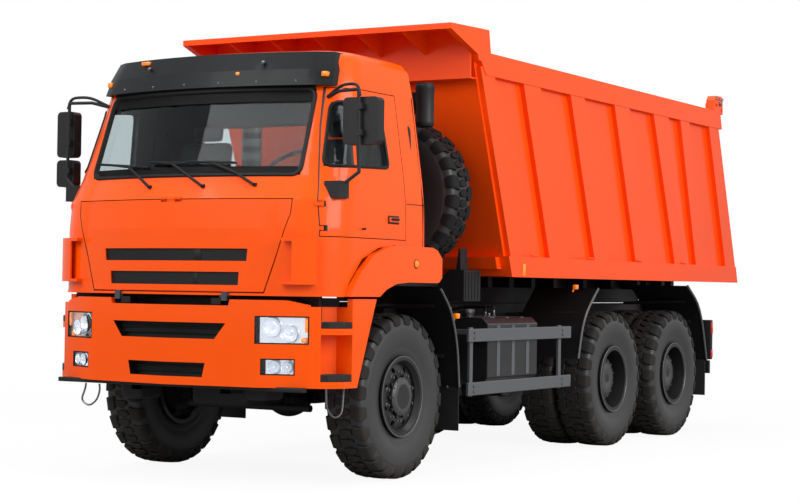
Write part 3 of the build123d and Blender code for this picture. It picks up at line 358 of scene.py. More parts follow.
class Paintshop:
    """Mixes each finish once and dresses pieces with it."""

    def __init__(self) -> None:
        """Builds every material."""
        shelf = EffectShelf()
        self.materials = {coat: coat.value.build(shelf) for coat in Coat}

    def dress(self, obj: bpy.types.Object, *coats: Coat) -> None:
        """Gives a piece its finishes.

        Args:
            obj: The piece.
            coats: One finish per material slot.
        """
        obj.data.materials.clear()
        for coat in coats:
            obj.data.materials.append(self.materials[coat])


# ------------------------------------------------------------------ modelling bench
class Shape:
    """A growing bmesh. Sizes are in millimetres, with y counted back from the front axle."""

    def __init__(self) -> None:
        """Starts empty."""
        self.bm = bmesh.new()

    def _soften(self, verts: Iterable[bmesh.types.BMVert], width: float, segments: int, angle: float = 40.0) -> None:
        """Rounds the sharp edges between some vertices.

        Args:
            verts: The vertices.
            width: The rounding; 0 leaves the edges sharp.
            segments: Faces across the rounding.
            angle: Edges sharper than this are rounded, in degrees.
        """
        if width <= 0:
            return
        edges = {e for v in verts if v.is_valid for e in v.link_edges
                 if len(e.link_faces) == 2 and e.calc_face_angle(0.0) > math.radians(angle)}
        bmesh.ops.bevel(self.bm, geom=list(edges), offset=width, offset_type="OFFSET", segments=segments, profile=0.5,
                        affect="EDGES", clamp_overlap=True, material=-1)

    def box(self, x: Point, y: Point, z: Point, soft: float = 0.0, segments: int = 2) -> "Shape":
        """Adds a block between two values on each axis.

        Args:
            x: Lowest and highest x.
            y: Lowest and highest y.
            z: Lowest and highest z.
            soft: Rounding of its edges.
            segments: Faces across the rounding.

        Returns:
            This shape.
        """
        middle = Vector(((x[0] + x[1]) / 2, (y[0] + y[1]) / 2, (z[0] + z[1]) / 2))
        size = Matrix.Diagonal((abs(x[1] - x[0]), abs(y[1] - y[0]), abs(z[1] - z[0]), 1.0))
        verts = bmesh.ops.create_cube(self.bm, size=1.0, matrix=Matrix.Translation(middle) @ size)["verts"]
        self._soften(verts, soft, segments)
        return self

    def bar(self, start: Point, end: Point, radius: float, end_radius: float | None = None, sides: int = 20,
            soft: float = 0.0) -> "Shape":
        """Adds a round or many-sided bar.

        Args:
            start: Centre of its first end.
            end: Centre of its other end.
            radius: Radius at the first end.
            end_radius: Radius at the other end, if it differs.
            sides: Sides around it.
            soft: Rounding of its end edges.

        Returns:
            This shape.
        """
        p, q = Vector(start), Vector(end)
        turn = (q - p).to_track_quat("Z", "Y").to_matrix().to_4x4()
        verts = bmesh.ops.create_cone(self.bm, cap_ends=True, segments=sides, radius1=radius,
                                      radius2=radius if end_radius is None else end_radius, depth=(q - p).length,
                                      matrix=Matrix.Translation((p + q) / 2) @ turn)["verts"]
        self._soften(verts, soft, 2, 50.0)
        return self

    def nut(self, place: Point, axis: Point, size: float, height: float) -> "Shape":
        """Adds a six-sided nut or bolt head.

        Args:
            place: Centre of its seat.
            axis: The way it stands.
            size: Its radius over the corners.
            height: Its height.

        Returns:
            This shape.
        """
        a = Vector(axis).normalized()
        p = Vector(place)
        self.bar(p, p + a * height * 0.7, size, sides=6)
        return self.bar(p + a * height * 0.7, p + a * height, size * 0.98, size * 0.72, sides=6)

    def lathe(self, outline: Pairs, centre: Point, axis: Point, sides: int = 48,
              closed: bool = True) -> "Shape":
        """Spins an outline about an axis.

        Args:
            outline: Pairs of distance along the axis and radius.
            centre: Where distance is 0.
            axis: The axis.
            sides: Steps of the spin.
            closed: Whether the outline's end joins its start.

        Returns:
            This shape.
        """
        before = set(self.bm.verts)
        a = Vector(axis).normalized()
        u = a.orthogonal().normalized()
        o = Vector(centre)
        verts = [self.bm.verts.new(o + a * d + u * r) for d, r in outline]
        edges = [self.bm.edges.new(pair) for pair in zip(verts, verts[1:])]
        if closed:
            edges.append(self.bm.edges.new((verts[-1], verts[0])))
        bmesh.ops.spin(self.bm, geom=verts + edges, cent=o, axis=a, angle=math.tau, steps=sides, use_merge=True,
                       use_duplicate=False)
        bmesh.ops.remove_doubles(self.bm, verts=[v for v in self.bm.verts if v not in before], dist=0.01)
        return self

    def plate(self, outline: Pairs, along: str, low: float, high: float, soft: float = 0.0,
              segments: int = 2) -> "Shape":
        """Pushes a flat outline along an axis.

        Args:
            outline: Corners in the two other axes, in the order x, y, z.
            along: The axis, x, y or z.
            low: Where the plate starts.
            high: Where it ends.
            soft: Rounding of its edges.
            segments: Faces across the rounding.

        Returns:
            This shape.
        """
        place: dict[str, Callable[[float, float, float], Point]] = {
            "x": lambda a, b, d: (d, a, b), "y": lambda a, b, d: (a, d, b), "z": lambda a, b, d: (a, b, d)}
        at = place[along]
        verts = [self.bm.verts.new(at(a, b, low)) for a, b in outline]
        face = self.bm.faces.new(verts)
        grown = bmesh.ops.extrude_face_region(self.bm, geom=[face])["geom"]
        moved = [g for g in grown if isinstance(g, bmesh.types.BMVert)]
        bmesh.ops.translate(self.bm, vec=at(0.0, 0.0, high - low), verts=moved)
        self._soften(verts + moved, soft, segments)
        return self

    @staticmethod
    def eased(points: Sequence[Point], bend: float, steps: int = 4) -> list[Vector]:
        """Rounds the corners of a run of points.

        Args:
            points: The run.
            bend: How far from a corner its curve starts.
            steps: Points on each curve.

        Returns:
            The eased run.
        """
        run = [Vector(p) for p in points]
        if bend <= 0:
            return run
        out = [run[0]]
        for a, b, c in zip(run, run[1:], run[2:]):
            d0, d1 = min(bend, (a - b).length * 0.45), min(bend, (c - b).length * 0.45)
            p, q = b + (a - b).normalized() * d0, b + (c - b).normalized() * d1
            for i in range(steps + 1):
                t = i / steps
                out.append(p * (1 - t) ** 2 + b * 2 * t * (1 - t) + q * t * t)
        return out + [run[-1]]

    def pipe(self, points: Sequence[Point], radius: float, bend: float = 0.0, sides: int = 10,
             ring: bool = False) -> "Shape":
        """Adds a round bar that follows a run of points.

        Args:
            points: The run.
            radius: Its radius.
            bend: How far from a corner its curve starts.
            sides: Sides around it.
            ring: Whether its end joins its start.

        Returns:
            This shape.
        """
        path = self.eased(list(points) + list(points[:1]) if ring and bend <= 0 else points, bend)
        if ring:
            path = path[:-1] if (path[0] - path[-1]).length < 0.01 else path
        last = len(path) - 1
        ways = [(path[(i + 1) % len(path)] - path[i - 1] if ring or 0 < i < last
                 else path[1] - path[0] if i == 0 else path[-1] - path[-2]).normalized() for i in range(len(path))]
        turn = ways[0].to_track_quat("Z", "Y")
        rings = []
        for i, p in enumerate(path):
            if i:
                turn = ways[i - 1].rotation_difference(ways[i]) @ turn
            verts = bmesh.ops.create_circle(
                self.bm, cap_ends=not ring and i in (0, last), segments=sides, radius=radius,
                matrix=Matrix.Translation(p) @ turn.to_matrix().to_4x4())["verts"]
            rings.append(list({e for v in verts for e in v.link_edges}))
        for a, b in list(zip(rings, rings[1:])) + ([(rings[-1], rings[0])] if ring else []):
            bmesh.ops.bridge_loops(self.bm, edges=a + b)
        return self

    def sheet(self, rows: Sequence[Sequence[Point]], thickness: float) -> "Shape":
        """Adds a thin curved sheet through rows of points.

        Args:
            rows: Rows of equally many points.
            thickness: How thick it is.

        Returns:
            This shape.
        """
        grid = [[self.bm.verts.new(p) for p in row] for row in rows]
        faces = [self.bm.faces.new((a[i], a[i + 1], b[i + 1], b[i]))
                 for a, b in zip(grid, grid[1:]) for i in range(len(a) - 1)]
        bmesh.ops.solidify(self.bm, geom=faces, thickness=thickness)
        return self

    def add(self, other: "Shape", place: Matrix) -> "Shape":
        """Copies another shape into this one.

        Args:
            other: The other shape; it stays as it is.
            place: Where the copy goes.

        Returns:
            This shape.
        """
        mesh = bpy.data.meshes.new("copy")
        one = other.bm.copy()
        bmesh.ops.transform(one, matrix=place, verts=one.verts)
        one.to_mesh(mesh)
        one.free()
        self.bm.from_mesh(mesh)
        bpy.data.meshes.remove(mesh)
        return self

    def to_right(self) -> "Shape":
        """Moves everything so far from the left side of the truck to the right.

        Returns:
            This shape.
        """
        bmesh.ops.scale(self.bm, vec=(-1, 1, 1), verts=self.bm.verts)
        return self

    def both(self) -> "Shape":
        """Copies everything so far to the other side of the truck.

        Returns:
            This shape.
        """
        geom = self.bm.verts[:] + self.bm.edges[:] + self.bm.faces[:]
        bmesh.ops.mirror(self.bm, geom=geom, matrix=Matrix.Identity(4), merge_dist=0.0, axis="X")
        return self


class Bench:
    """Turns shapes and CAD nodes into finished pieces that ride on a body."""

    MERGE = 0.00002
    """Vertices of a CAD node nearer than this are one, in metres."""
    FLAT = 0.6
    """Neighbouring faces of a CAD node that turn less than this are one, in degrees."""
    METRES = Matrix.Translation((0.0, FRONT_AXLE_Y, 0.0)) @ Matrix.Diagonal((0.001, 0.001, 0.001, 1.0))

    def __init__(self, shop: Paintshop) -> None:
        """Keeps the paintshop at hand and starts the count of faces.

        Args:
            shop: The finishes.
        """
        self.shop = shop
        self.count = 0

    def _stand(self, name: str, mesh: bpy.types.Mesh, body: str, coats: Sequence[Coat],
               nodes: Sequence[str]) -> bpy.types.Object:
        """Makes an object of a mesh, dresses it and sets it on its body.

        Args:
            name: The piece's name.
            mesh: Its mesh.
            body: The body it rides on.
            coats: Its finishes, one a slot.
            nodes: The CAD nodes that it stands for.

        Returns:
            The object.
        """
        obj = bpy.data.objects.new(name, mesh)
        bpy.context.scene.collection.objects.link(obj)
        self.shop.dress(obj, *coats)
        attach(obj, body)
        if nodes:
            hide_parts(*nodes)
        self.count += len(mesh.polygons)
        LOG.info("%s: %d faces on %s", name, len(mesh.polygons), body)
        return obj

    def piece(self, name: str, shape: Shape, body: str, *coats: Coat, smooth: float = 35.0,
              nodes: Sequence[str] = ()) -> bpy.types.Object:
        """Makes a piece of a shape.

        Args:
            name: The piece's name.
            shape: The shape; it is used up.
            body: The body it rides on.
            coats: Its finishes, one a slot.
            smooth: The angle in degrees past which an edge stays sharp.
            nodes: The CAD nodes that it stands for.

        Returns:
            The new object.
        """
        bm = shape.bm
        bmesh.ops.transform(bm, matrix=self.METRES, verts=bm.verts)
        bmesh.ops.recalc_face_normals(bm, faces=bm.faces)
        mesh = bpy.data.meshes.new(name)
        bm.to_mesh(mesh)
        bm.free()
        mesh.shade_smooth()
        mesh.set_sharp_from_angle(angle=math.radians(smooth))
        return self._stand(name, mesh, body, coats, nodes)

    def from_node(self, node: str, coat: Coat, bevel: float = 0.006, segments: int = 2, angle: float = 28.0,
                  keep: Callable[[Vector], bool] | None = None,
                  lining: Coat | None = None, lined: Callable[[Vector], bool] | None = None) -> bpy.types.Object:
        """Copies a CAD node, merges its loose triangles and rounds its edges.

        Args:
            node: The CAD node.
            coat: Its finish.
            bevel: The width of the rounded edge, in metres.
            segments: Faces across that edge.
            angle: Edges sharper than this are rounded, in degrees.
            keep: Tells from a face's middle whether it stays; all stay without it.
            lining: The finish of the faces that look inward.
            lined: Tells from a face's middle whether it looks inward.

        Returns:
            The piece.
        """
        source = frame["nodes"][node]
        bm = bmesh.new()
        bm.from_mesh(source.data)
        bm.transform(source.matrix_world)
        bmesh.ops.remove_doubles(bm, verts=bm.verts, dist=self.MERGE)
        if keep is not None:
            left_out = [face for face in bm.faces if not keep(face.calc_center_median())]
            bmesh.ops.delete(bm, geom=left_out, context="FACES")
        bmesh.ops.dissolve_limit(bm, angle_limit=math.radians(self.FLAT), verts=bm.verts, edges=bm.edges)
        slots = [int(lined is not None and lined(face.calc_center_median())) for face in bm.faces]
        title = f"{node}_skin"
        mesh = bpy.data.meshes.new(title)
        bm.to_mesh(mesh)
        bm.free()
        mesh.shade_smooth()
        mesh.set_sharp_from_angle(angle=math.radians(angle))
        obj = self._stand(title, mesh, BODY_OF[node], (coat, lining) if lining else (coat,), (node,))
        mesh.polygons.foreach_set("material_index", slots)
        if bevel > 0:
            mod = obj.modifiers.new("rounding", "BEVEL")
            mod.width = bevel
            mod.segments = segments
            mod.limit_method = "ANGLE"
            mod.angle_limit = math.radians(angle)
            mod.harden_normals = False
            mod.use_clamp_overlap = True
            even = obj.modifiers.new("even", "WEIGHTED_NORMAL")
            even.mode = "FACE_AREA_WITH_ANGLE"
            even.weight = 50
            even.keep_sharp = True
        return obj


BODY_OF: dict[str, str] = {
    node: body for body, nodes in frame["record"]["behaviour"]["bodies"].items() for node in nodes}
"""The body that each CAD node belongs to."""


@dataclass(frozen=True)
class CabFace:
    """The cab's curved front, which small pieces are set against."""

    levels: tuple[tuple[float, float, float, float, float], ...] = (
        (1320, -1302, 110, 380, 1200), (1780, -1306, 116, 380, 1200), (1980, -1290, 120, 380, 1195),
        (2150, -1195, 150, 330, 1178), (2780, -960, 133, 300, 1085), (2960, -895, 125, 280, 1050),
        (3020, -850, 115, 260, 1010), (3050, -770, 105, 240, 930))
    """Rows of height, front at the middle, drop back at the corner, corner radius and half width."""

    def row(self, z: float) -> tuple[float, float, float, float]:
        """Finds the outline's sizes at a height.

        Args:
            z: The height.

        Returns:
            Front, drop, corner radius and half width.
        """
        for low, high in zip(self.levels, self.levels[1:]):
            if low[0] <= z <= high[0]:
                t = (z - low[0]) / (high[0] - low[0])
                return tuple(a + (b - a) * t for a, b in zip(low[1:], high[1:]))
        return self.levels[0 if z < self.levels[0][0] else -1][1:]

    def y(self, x: float, z: float, proud: float = 0.0) -> float:
        """Finds how far forward the skin stands.

        Args:
            x: Distance from the middle.
            z: Height.
            proud: How far in front of the skin to go.

        Returns:
            The y value.
        """
        front, drop, corner, half = self.row(z)
        flat = half - corner
        radius = (flat * flat + drop * drop) / (2 * drop)
        ax = abs(x)
        if ax <= flat:
            return front + radius - math.sqrt(radius * radius - ax * ax) - proud
        return front + drop + corner - math.sqrt(max(corner * corner - (ax - flat) ** 2, 0.0)) - proud

    def side_x(self, z: float, proud: float = 0.0) -> float:
        """Finds the half width of the cab's side.

        Args:
            z: Height.
            proud: How far outside the skin to go.

        Returns:
            The x value.
        """
        return self.row(z)[3] + proud

    def at(self, x: float, z: float, proud: float) -> Triple:
        """Sets a point off the front skin.

        Args:
            x: Distance from the middle.
            z: Height.
            proud: Distance in front of the skin.

        Returns:
            The point.
        """
        return (x, self.y(x, z, proud), z)

    def run(self, corners: Pairs, proud: float,
            step: float = 120.0) -> list[Triple]:
        """Lays a line of (x, z) corners on the front skin.

        Args:
            corners: The corners.
            proud: How far in front of the skin the line lies.
            step: Longest distance between points.

        Returns:
            Points along the line.
        """
        out: list[Triple] = []
        for (x0, z0), (x1, z1) in zip(corners, corners[1:]):
            n = max(1, math.ceil(math.hypot(x1 - x0, z1 - z0) / step))
            out += [self.at(x0 + (x1 - x0) * i / n, z0 + (z1 - z0) * i / n, proud) for i in range(n)]
        return out + [self.at(*corners[-1], proud)]


FACE = CabFace()


# ------------------------------------------------------------------ wheels
@dataclass
class Wheels:
    """Tyres, rims and hubs."""

    bench: Bench
    radius: float = 600.0
    axle_z: float = 600.0
    front_x: float = 985.0
    twin_x: tuple[float, float] = (1075.0, 730.0)
    axles: tuple[tuple[str, float], ...] = (("mid", 3600.0), ("rear", 5040.0))
    pitches: int = 24
    skin: tuple[Triple, ...] = (
        (0, 0, 600), (60, 60, 599), (105, 105, 597), (124, 124, 594), (140, 139, 588),
        (155, 150, 576), (172, 156, 559), (200, 159.5, 531), (230, 159.8, 501))
    """Across the tread: way along the surface, x and radius."""
    wall: Pairs = (
        (0, 581), (60, 580), (105, 578), (124, 575), (137, 568), (146, 556), (150, 538), (153, 518),
        (155, 508), (157.5, 503), (158.5, 490), (159.5, 466), (158.5, 438), (155, 410), (149, 384),
        (142, 360), (137, 344), (137, 334), (133, 326), (130, 312), (126, 300), (118, 286), (112, 270))
    """The casing from the crown to the bead: x and radius."""
    blocks: tuple[tuple[Pairs, float, float], ...] = (
        (((64, 22), (112, 2), (150, -2), (206, 6), (214, 20), (214, 84), (206, 98), (150, 106), (112, 108), (64, 124)),
         0, 5),
        (((-54, 4), (-4, -22), (50, 8), (50, 36), (-4, 44), (-54, 36)), -30, 4))
    """The shoulder's and the crown's block: outline, shift along the tread and rounding."""
    block_depth: float = 17.0
    folds: tuple[float, ...] = (105, 124, 140, 155, 172, 190)
    """Ways along the surface at which a block is cut, so that it can bend."""

    def _on_skin(self, way: float, along: float, depth: float) -> Vector:
        """Bends a flat tread place onto the tyre.

        Args:
            way: Distance from the crown across the tread.
            along: Distance round the tyre.
            depth: How deep under the surface.

        Returns:
            The place on a tyre about the x axis.
        """
        side, way = math.copysign(1.0, way), abs(way)
        for (w0, x0, r0), (w1, x1, r1) in zip(self.skin, self.skin[1:]):
            if way <= w1 or w1 == self.skin[-1][0]:
                t = (way - w0) / (w1 - w0)
                out = Vector((r0 - r1, x1 - x0)).normalized()
                x, r = x0 + (x1 - x0) * t - out.x * depth, r0 + (r1 - r0) * t - out.y * depth
                break
        turn = along / self.radius
        return Vector((side * x, r * math.sin(turn), r * math.cos(turn)))

    def _tread(self) -> Shape:
        """Cuts the blocks flat, copies them round and bends them onto the tyre."""
        shape = Shape()
        pitch = math.tau * self.radius / self.pitches
        for sign, shift in ((1, 0.0), (-1, pitch / 2)):
            for outline, back, soft in self.blocks:
                shape.plate([(sign * a, b + shift + back) for a, b in outline], "z", -self.block_depth, 0.0, soft, 1)
        bm = shape.bm
        for fold in self.folds:
            for sign in (1, -1):
                bmesh.ops.bisect_plane(bm, geom=bm.verts[:] + bm.edges[:] + bm.faces[:], plane_co=(sign * fold, 0, 0),
                                       plane_no=(1, 0, 0))
        once = bm.verts[:] + bm.edges[:] + bm.faces[:]
        for k in range(1, self.pitches):
            copy = bmesh.ops.duplicate(bm, geom=once)["geom"]
            bmesh.ops.translate(bm, vec=(0, k * pitch, 0), verts=[g for g in copy if isinstance(g, bmesh.types.BMVert)])
        for v in bm.verts:
            v.co = self._on_skin(v.co.x, v.co.y, -v.co.z)
        return shape

    def _casing(self) -> Shape:
        """Spins the casing."""
        outline = [(-x, r) for x, r in reversed(self.wall[1:])] + list(self.wall)
        return Shape().lathe(outline, (0, 0, 0), (1, 0, 0), 72)

    @staticmethod
    def _placed(source: Shape, places: Sequence[Matrix]) -> Shape:
        """Copies a shape to several places.

        Args:
            source: The shape.
            places: The places.

        Returns:
            The copies as one shape.
        """
        out = Shape()
        for place in places:
            out.add(source, place)
        return out

    def _hub(self, reach: float, radius: float, depth: float) -> Shape:
        """Turns one hub cap with its ring of nuts, facing +x from the origin.

        Args:
            reach: How far out its face stands.
            radius: The cap's radius.
            depth: How far back its barrel goes.

        Returns:
            The hub.
        """
        steps = ((depth, 0.86), (depth, 1.0), (34, 1.02), (24, 1.08), (14, 1.08), (10, 1.0), (4, 0.96), (0, 0.86),
                 (0, 0.3), (3, 0.26), (3, 0.0), (depth, 0.0))
        shape = Shape().lathe([(reach - back, radius * share) for back, share in steps], (0, 0, 0), (1, 0, 0), 48,
                              closed=False)
        for i in range(12):
            a = math.tau * i / 12
            shape.nut((reach - 14, radius * math.cos(a), radius * math.sin(a)), (1, 0, 0), 8, 9)
        return shape

    def _edges(self) -> Shape:
        """Turns the rolled edges of a rim, facing +x from a tyre's middle; their lighter grey is a painted highlight
        where the lips catch the light.
        """
        shape = Shape().lathe([(149.5, 284), (153, 287), (153, 292), (149.5, 294)], (0, 0, 0), (1, 0, 0), 64)
        return shape.lathe([(139, 268), (142, 270), (142, 275), (139, 276)], (0, 0, 0), (1, 0, 0), 64)

    def _carrier(self) -> Shape:
        """Turns the drum behind a twin wheel's cap, with its ring of bolts."""
        drum = [(-186, 100), (-186, 172), (-70, 172), (-40, 184), (50, 184), (60, 176), (60, 100)]
        shape = Shape().lathe(drum, (0, 0, 0), (1, 0, 0), 48)
        for i in range(12):
            a = math.tau * (i + 0.5) / 12
            shape.nut((60, 164 * math.cos(a), 164 * math.sin(a)), (1, 0, 0), 12, 13)
        return shape

    def _nuts(self, x: float, radius: float, count: int) -> Shape:
        """Sets a ring of wheel nuts with their studs.

        Args:
            x: Where they stand.
            radius: The ring's radius.
            count: How many.

        Returns:
            The nuts.
        """
        shape = Shape()
        for i in range(count):
            a = math.tau * (i + 0.5) / count
            c, s = radius * math.cos(a), radius * math.sin(a)
            shape.nut((x, c, s), (1, 0, 0), 19, 22)
            shape.bar((x + 20, c, s), (x + 34, c, s), 10, sides=8)
        return shape

    def _tyre(self, node: str, casing: Shape, tread: Shape, places: Sequence[Matrix]) -> None:
        """Sets a casing and its tread where a CAD node's tyres are.

        Args:
            node: The CAD node.
            casing: The casing about the x axis.
            tread: The tread about the x axis.
            places: Where its tyres are.
        """
        body = BODY_OF[node]
        # The casing takes the lighter rubber as painted light on the sidewalls; the tread takes the darker one as
        # painted shade.
        self.bench.piece(f"{node}_casing", self._placed(casing, places), body, Coat.TYRE_PAINTED_LIGHT, smooth=40, nodes=(node,))
        self.bench.piece(f"{node}_tread", self._placed(tread, places), body, Coat.TREAD_PAINTED_SHADE, smooth=25)

    def build(self) -> None:
        """Builds every wheel."""
        tread, casing = self._tread(), self._casing()
        jobs: list[tuple[str, list[Triple]]] = [
            ("front_tyre_left", [(self.front_x, 0, 0.0)]), ("front_tyre_right", [(-self.front_x, 0, 0.7)])]
        for tag, y in self.axles:
            for side, sgn in SIDES:
                outer, inner = (sgn * x for x in self.twin_x)
                jobs.append((f"{tag}_tyres_{side}", [(outer, y, 0.4 + sgn), (inner, y, 1.1)]))
        for node, places in jobs:
            mats = [Matrix.Translation((x, y, self.axle_z)) @ Matrix.Rotation(a, 4, "X") for x, y, a in places]
            self._tyre(node, casing, tread, mats)
        spare = Matrix.Translation((560.0, 865.0, 2100.0)) @ Matrix.Rotation(math.radians(-90), 4, "Z")
        self._tyre("spare_tyre", casing, tread, [spare])
        tread.bm.free()
        casing.bm.free()
        front, twin = self._hub(157.0, 128.0, 70.0), self._hub(86.0, 140.0, 90.0)
        front_nuts, carrier, edges = self._nuts(104.0, 176.0, 10), self._carrier(), self._edges()
        for side, sgn in SIDES:
            face = Matrix.Identity(4) if sgn > 0 else Matrix.Rotation(math.pi, 4, "Z")
            at = Matrix.Translation((sgn * self.front_x, 0, self.axle_z)) @ face
            body = BODY_OF[f"front_rim_{side}"]
            self.bench.from_node(f"front_rim_{side}", Coat.RIM, 0.003)
            self.bench.piece(f"front_hub_{side}", self._placed(front, [at]), body, Coat.HUB)
            self.bench.piece(f"front_nuts_{side}", self._placed(front_nuts, [at]), body, Coat.ZINC)
            # The rolled edges are painted a lighter grey than the rim: a painted highlight.
            self.bench.piece(f"front_rim_edges_{side}", self._placed(edges, [at]), body, Coat.GUARD)
            for tag, y in self.axles:
                at = Matrix.Translation((sgn * self.twin_x[0], y, self.axle_z)) @ face
                body = BODY_OF[f"{tag}_rims_{side}"]
                self.bench.from_node(f"{tag}_rims_{side}", Coat.RIM, 0.003)
                self.bench.piece(f"{tag}_hub_{side}", self._placed(twin, [at]), body, Coat.HUB)
                self.bench.piece(f"{tag}_carrier_{side}", self._placed(carrier, [at]), body, Coat.HUB)
                self.bench.piece(f"{tag}_rim_edges_{side}", self._placed(edges, [at]), body, Coat.GUARD)
        self.bench.from_node("spare_rim", Coat.RIM, 0.003)
        for shape in (front, twin, front_nuts, carrier, edges):
            shape.bm.free()


# ------------------------------------------------------------------ cab
def in_mm(place: Vector) -> Triple:
    """Turns a point of the frame into the sizes that shapes are given in.

    Args:
        place: The point, in metres in the part's frame.

    Returns:
        Distance from the middle, y counted back from the front axle and height, in millimetres.
    """
    return abs(place.x) * 1000, (place.y - FRONT_AXLE_Y) * 1000, place.z * 1000


def inside_cab(place: Vector) -> bool:
    """Tells whether a point lies inside the cab's outer skin.

    Args:
        place: The point, in metres in the part's frame.

    Returns:
        Whether it is behind the skin between the floor and the roof, or lower than the whole skin.
    """
    x, y, z = in_mm(place)
    clear = 14
    return z < 1316 or 1640 < z < 3032 and y < 160 and x < FACE.side_x(z) - clear and y > FACE.y(x, z) + clear


@dataclass
class Cab:
    """Painted skins, gaskets, wipers, visor and what stands on the cab."""

    bench: Bench
    screen: Pairs = ((0, 2150), (905, 2150), (886, 2760), (-886, 2760), (-905, 2150), (0, 2150))
    """The windscreen's outline, as x and z."""
    rear: Pairs = ((0, 2240), (820, 2240), (800, 2620), (-800, 2620), (-820, 2240), (0, 2240))
    """The rear window's outline, as x and z."""
    wipers: tuple[Pairs, ...] = (
        ((-231, 2072), (-400, 2170), (-500, 2222), (-860, 2258), (-300, 2216)),
        ((231, 2072), (60, 2165), (-70, 2232), (-300, 2250), (150, 2240)),
        ((618, 2080), (470, 2160), (250, 2240), (40, 2250), (440, 2236)))
    """Each wiper: pivot, knuckle, blade's middle, blade's ends, as x and z."""

    def skins(self) -> None:
        """Rounds the edges of the painted panels."""
        self.bench.from_node("cab_shell", Coat.CAB_PAINT, 0.007, angle=32, lining=Coat.CABIN, lined=inside_cab)
        for node, bevel in (("front_panel", 0.005), ("fenders", 0.012)):
            self.bench.from_node(node, Coat.CAB_PAINT, bevel, angle=32)

    def gaskets(self) -> None:
        """Runs the rubber round the windscreen and the rear window, and lays black bands across the windscreen's foot
        and top; the top band and the two bars above it are painted shadow under the visor.
        """
        flat = Shape.eased([(x, 0.0, z) for x, z in self.screen], 70.0, 5)
        line = FACE.run([(p.x, p.z) for p in flat], -2.0, 90.0)
        ring = Shape().pipe(line[:-1], 15.0, sides=8, ring=True)
        inner = FACE.run([(p.x * 0.985, 2150 + (p.z - 2150) * 0.975 + 8) for p in flat], -10.0, 90.0)
        ring.pipe(inner[:-1], 11.0, sides=8, ring=True)
        back = Shape.eased([(x, 168, z) for x, z in self.rear], 60.0, 5)
        ring.pipe(back[:-1], 12.0, sides=8, ring=True)
        # The lower band is the black frit at the windscreen's foot; the upper band is painted shadow cast by the visor.
        for low, high in ((2150, 2212), (2672, 2780)):
            ring.sheet([[FACE.at(x * (1 - (z - 2150) / 610 * 0.021), z, -8.0) for x in range(-896, 897, 64)]
                        for z in (low, (low + high) / 2, high)], 3.0)
        # Two black bars along the windscreen's top edge: painted shadow under the visor.
        for z, r in ((2770, 15), (2792, 16)):
            ring.pipe(FACE.run([(-878, z), (0, z), (878, z)], 2.0, 90.0), r, 0, 8)
        self.bench.piece("window_gaskets_and_visor_shadow", ring, "cab", Coat.RUBBER)

    def wiper_set(self) -> None:
        """Builds the three wipers."""
        shape = Shape()
        for pivot, knee, middle, end_a, end_b in self.wipers:
            blade = [((end_a[0] * k + end_b[0] * (1 - k)), (end_a[1] * k + end_b[1] * (1 - k)))
                     for k in (0, 0.22, 0.25, 0.5, 0.75, 0.78, 1)]
            shape.bar(FACE.at(*pivot, -20), FACE.at(*pivot, 22), 15, 12, 14, 2)
            shape.pipe([FACE.at(*pivot, 20), FACE.at(*knee, 26), FACE.at(*middle, 24)], 10, 30, 8)
            shape.pipe([FACE.at(*blade[1], 16), FACE.at(*middle, 26), FACE.at(*blade[5], 16)], 7.0, 40, 6)
            shape.pipe([FACE.at(*blade[k], 9) for k in (0, 2, 3, 4, 6)], 9.0, 0, 6)
        self.bench.piece("wiper_arms", shape, "cab", Coat.RUBBER, nodes=("wipers",))

    def visor(self) -> None:
        """Dresses the sun visor with its bolts and lamps."""
        self.bench.from_node("sun_visor", Coat.VISOR, 0.004)
        bolts, amber = Shape(), Shape()
        for x in (-740, -430, -130, 170, 470, 760):
            place = (x, -1003 + 138 * (x / 890) ** 2 + 10, 2812)
            bolts.nut(place, (0, -1, -0.25), 11, 8)
        for x in (-500, 500):
            bolts.bar((x, -925 + 25, 2955), (x, -955 + 25, 2950), 12, sides=12, soft=2)
        amber.box((-606, -534), (-885, -835), (2986, 3014), 9, 3).box((292, 324), (-960, -936), (2862, 2890), 6, 2)
        for x in (-945, 945):
            amber.box((x - 22, x + 22), (-826, -776), (2846, 2882), 8, 3)
        self.bench.piece("visor_bolts", bolts, "cab", Coat.ZINC)
        self.bench.piece("visor_markers", amber, "cab", Coat.AMBER)

    def roof(self) -> None:
        """Sets the roof vent's lid."""
        vent = Shape().box((-330, 330), (-520, -80), (3040, 3062), 8, 2)
        vent.box((-300, 300), (-490, -110), (3058, 3070), 6, 2)
        self.bench.piece("roof_vent", vent, "cab", Coat.CAB_PAINT)

    def details(self) -> None:
        """Adds repeaters, seams and grab rails."""
        repeat = Shape()
        dome = [(0, 27), (6, 27), (12, 22), (15, 10), (16, 0), (0, 0)]
        repeat.lathe(dome, (1248, -30, 1560), (1, 0, 0), 24, closed=False)
        rim = Shape().lathe([(-2, 24), (5, 34), (8, 32), (6, 26)], (1246, -30, 1560), (1, 0, 0), 24)
        self.bench.piece("fender_repeaters", repeat.both(), "cab", Coat.AMBER)
        self.bench.piece("repeater_rims", rim.both(), "cab", Coat.RUBBER)
        seams = Shape()
        half = FACE.side_x(1990)
        seams.pipe([(1199, 150, 1440), (1199, 150, 1985), (1110, 150, 2600), (1086, 148, 2780)], 4.0, 0, 6)
        seams.pipe([(half + 0.5, -80, 1990), (half + 0.5, 168, 1990)], 3.0, 0, 6)
        self.bench.piece("cab_seams", seams.both(), "cab", Coat.RUBBER)
        rails = Shape()
        rails.pipe([(1096, 30, 2050), (1150, 60, 2060), (1120, 60, 2560), (1070, 30, 2570)], 13, 40, 10)
        self.bench.piece("grab_rails", rails.both(), "cab", Coat.TRIM)

    def build(self) -> None:
        """Builds the cab's outside."""
        self.skins()
        self.gaskets()
        self.wiper_set()
        self.visor()
        self.roof()
        self.details()


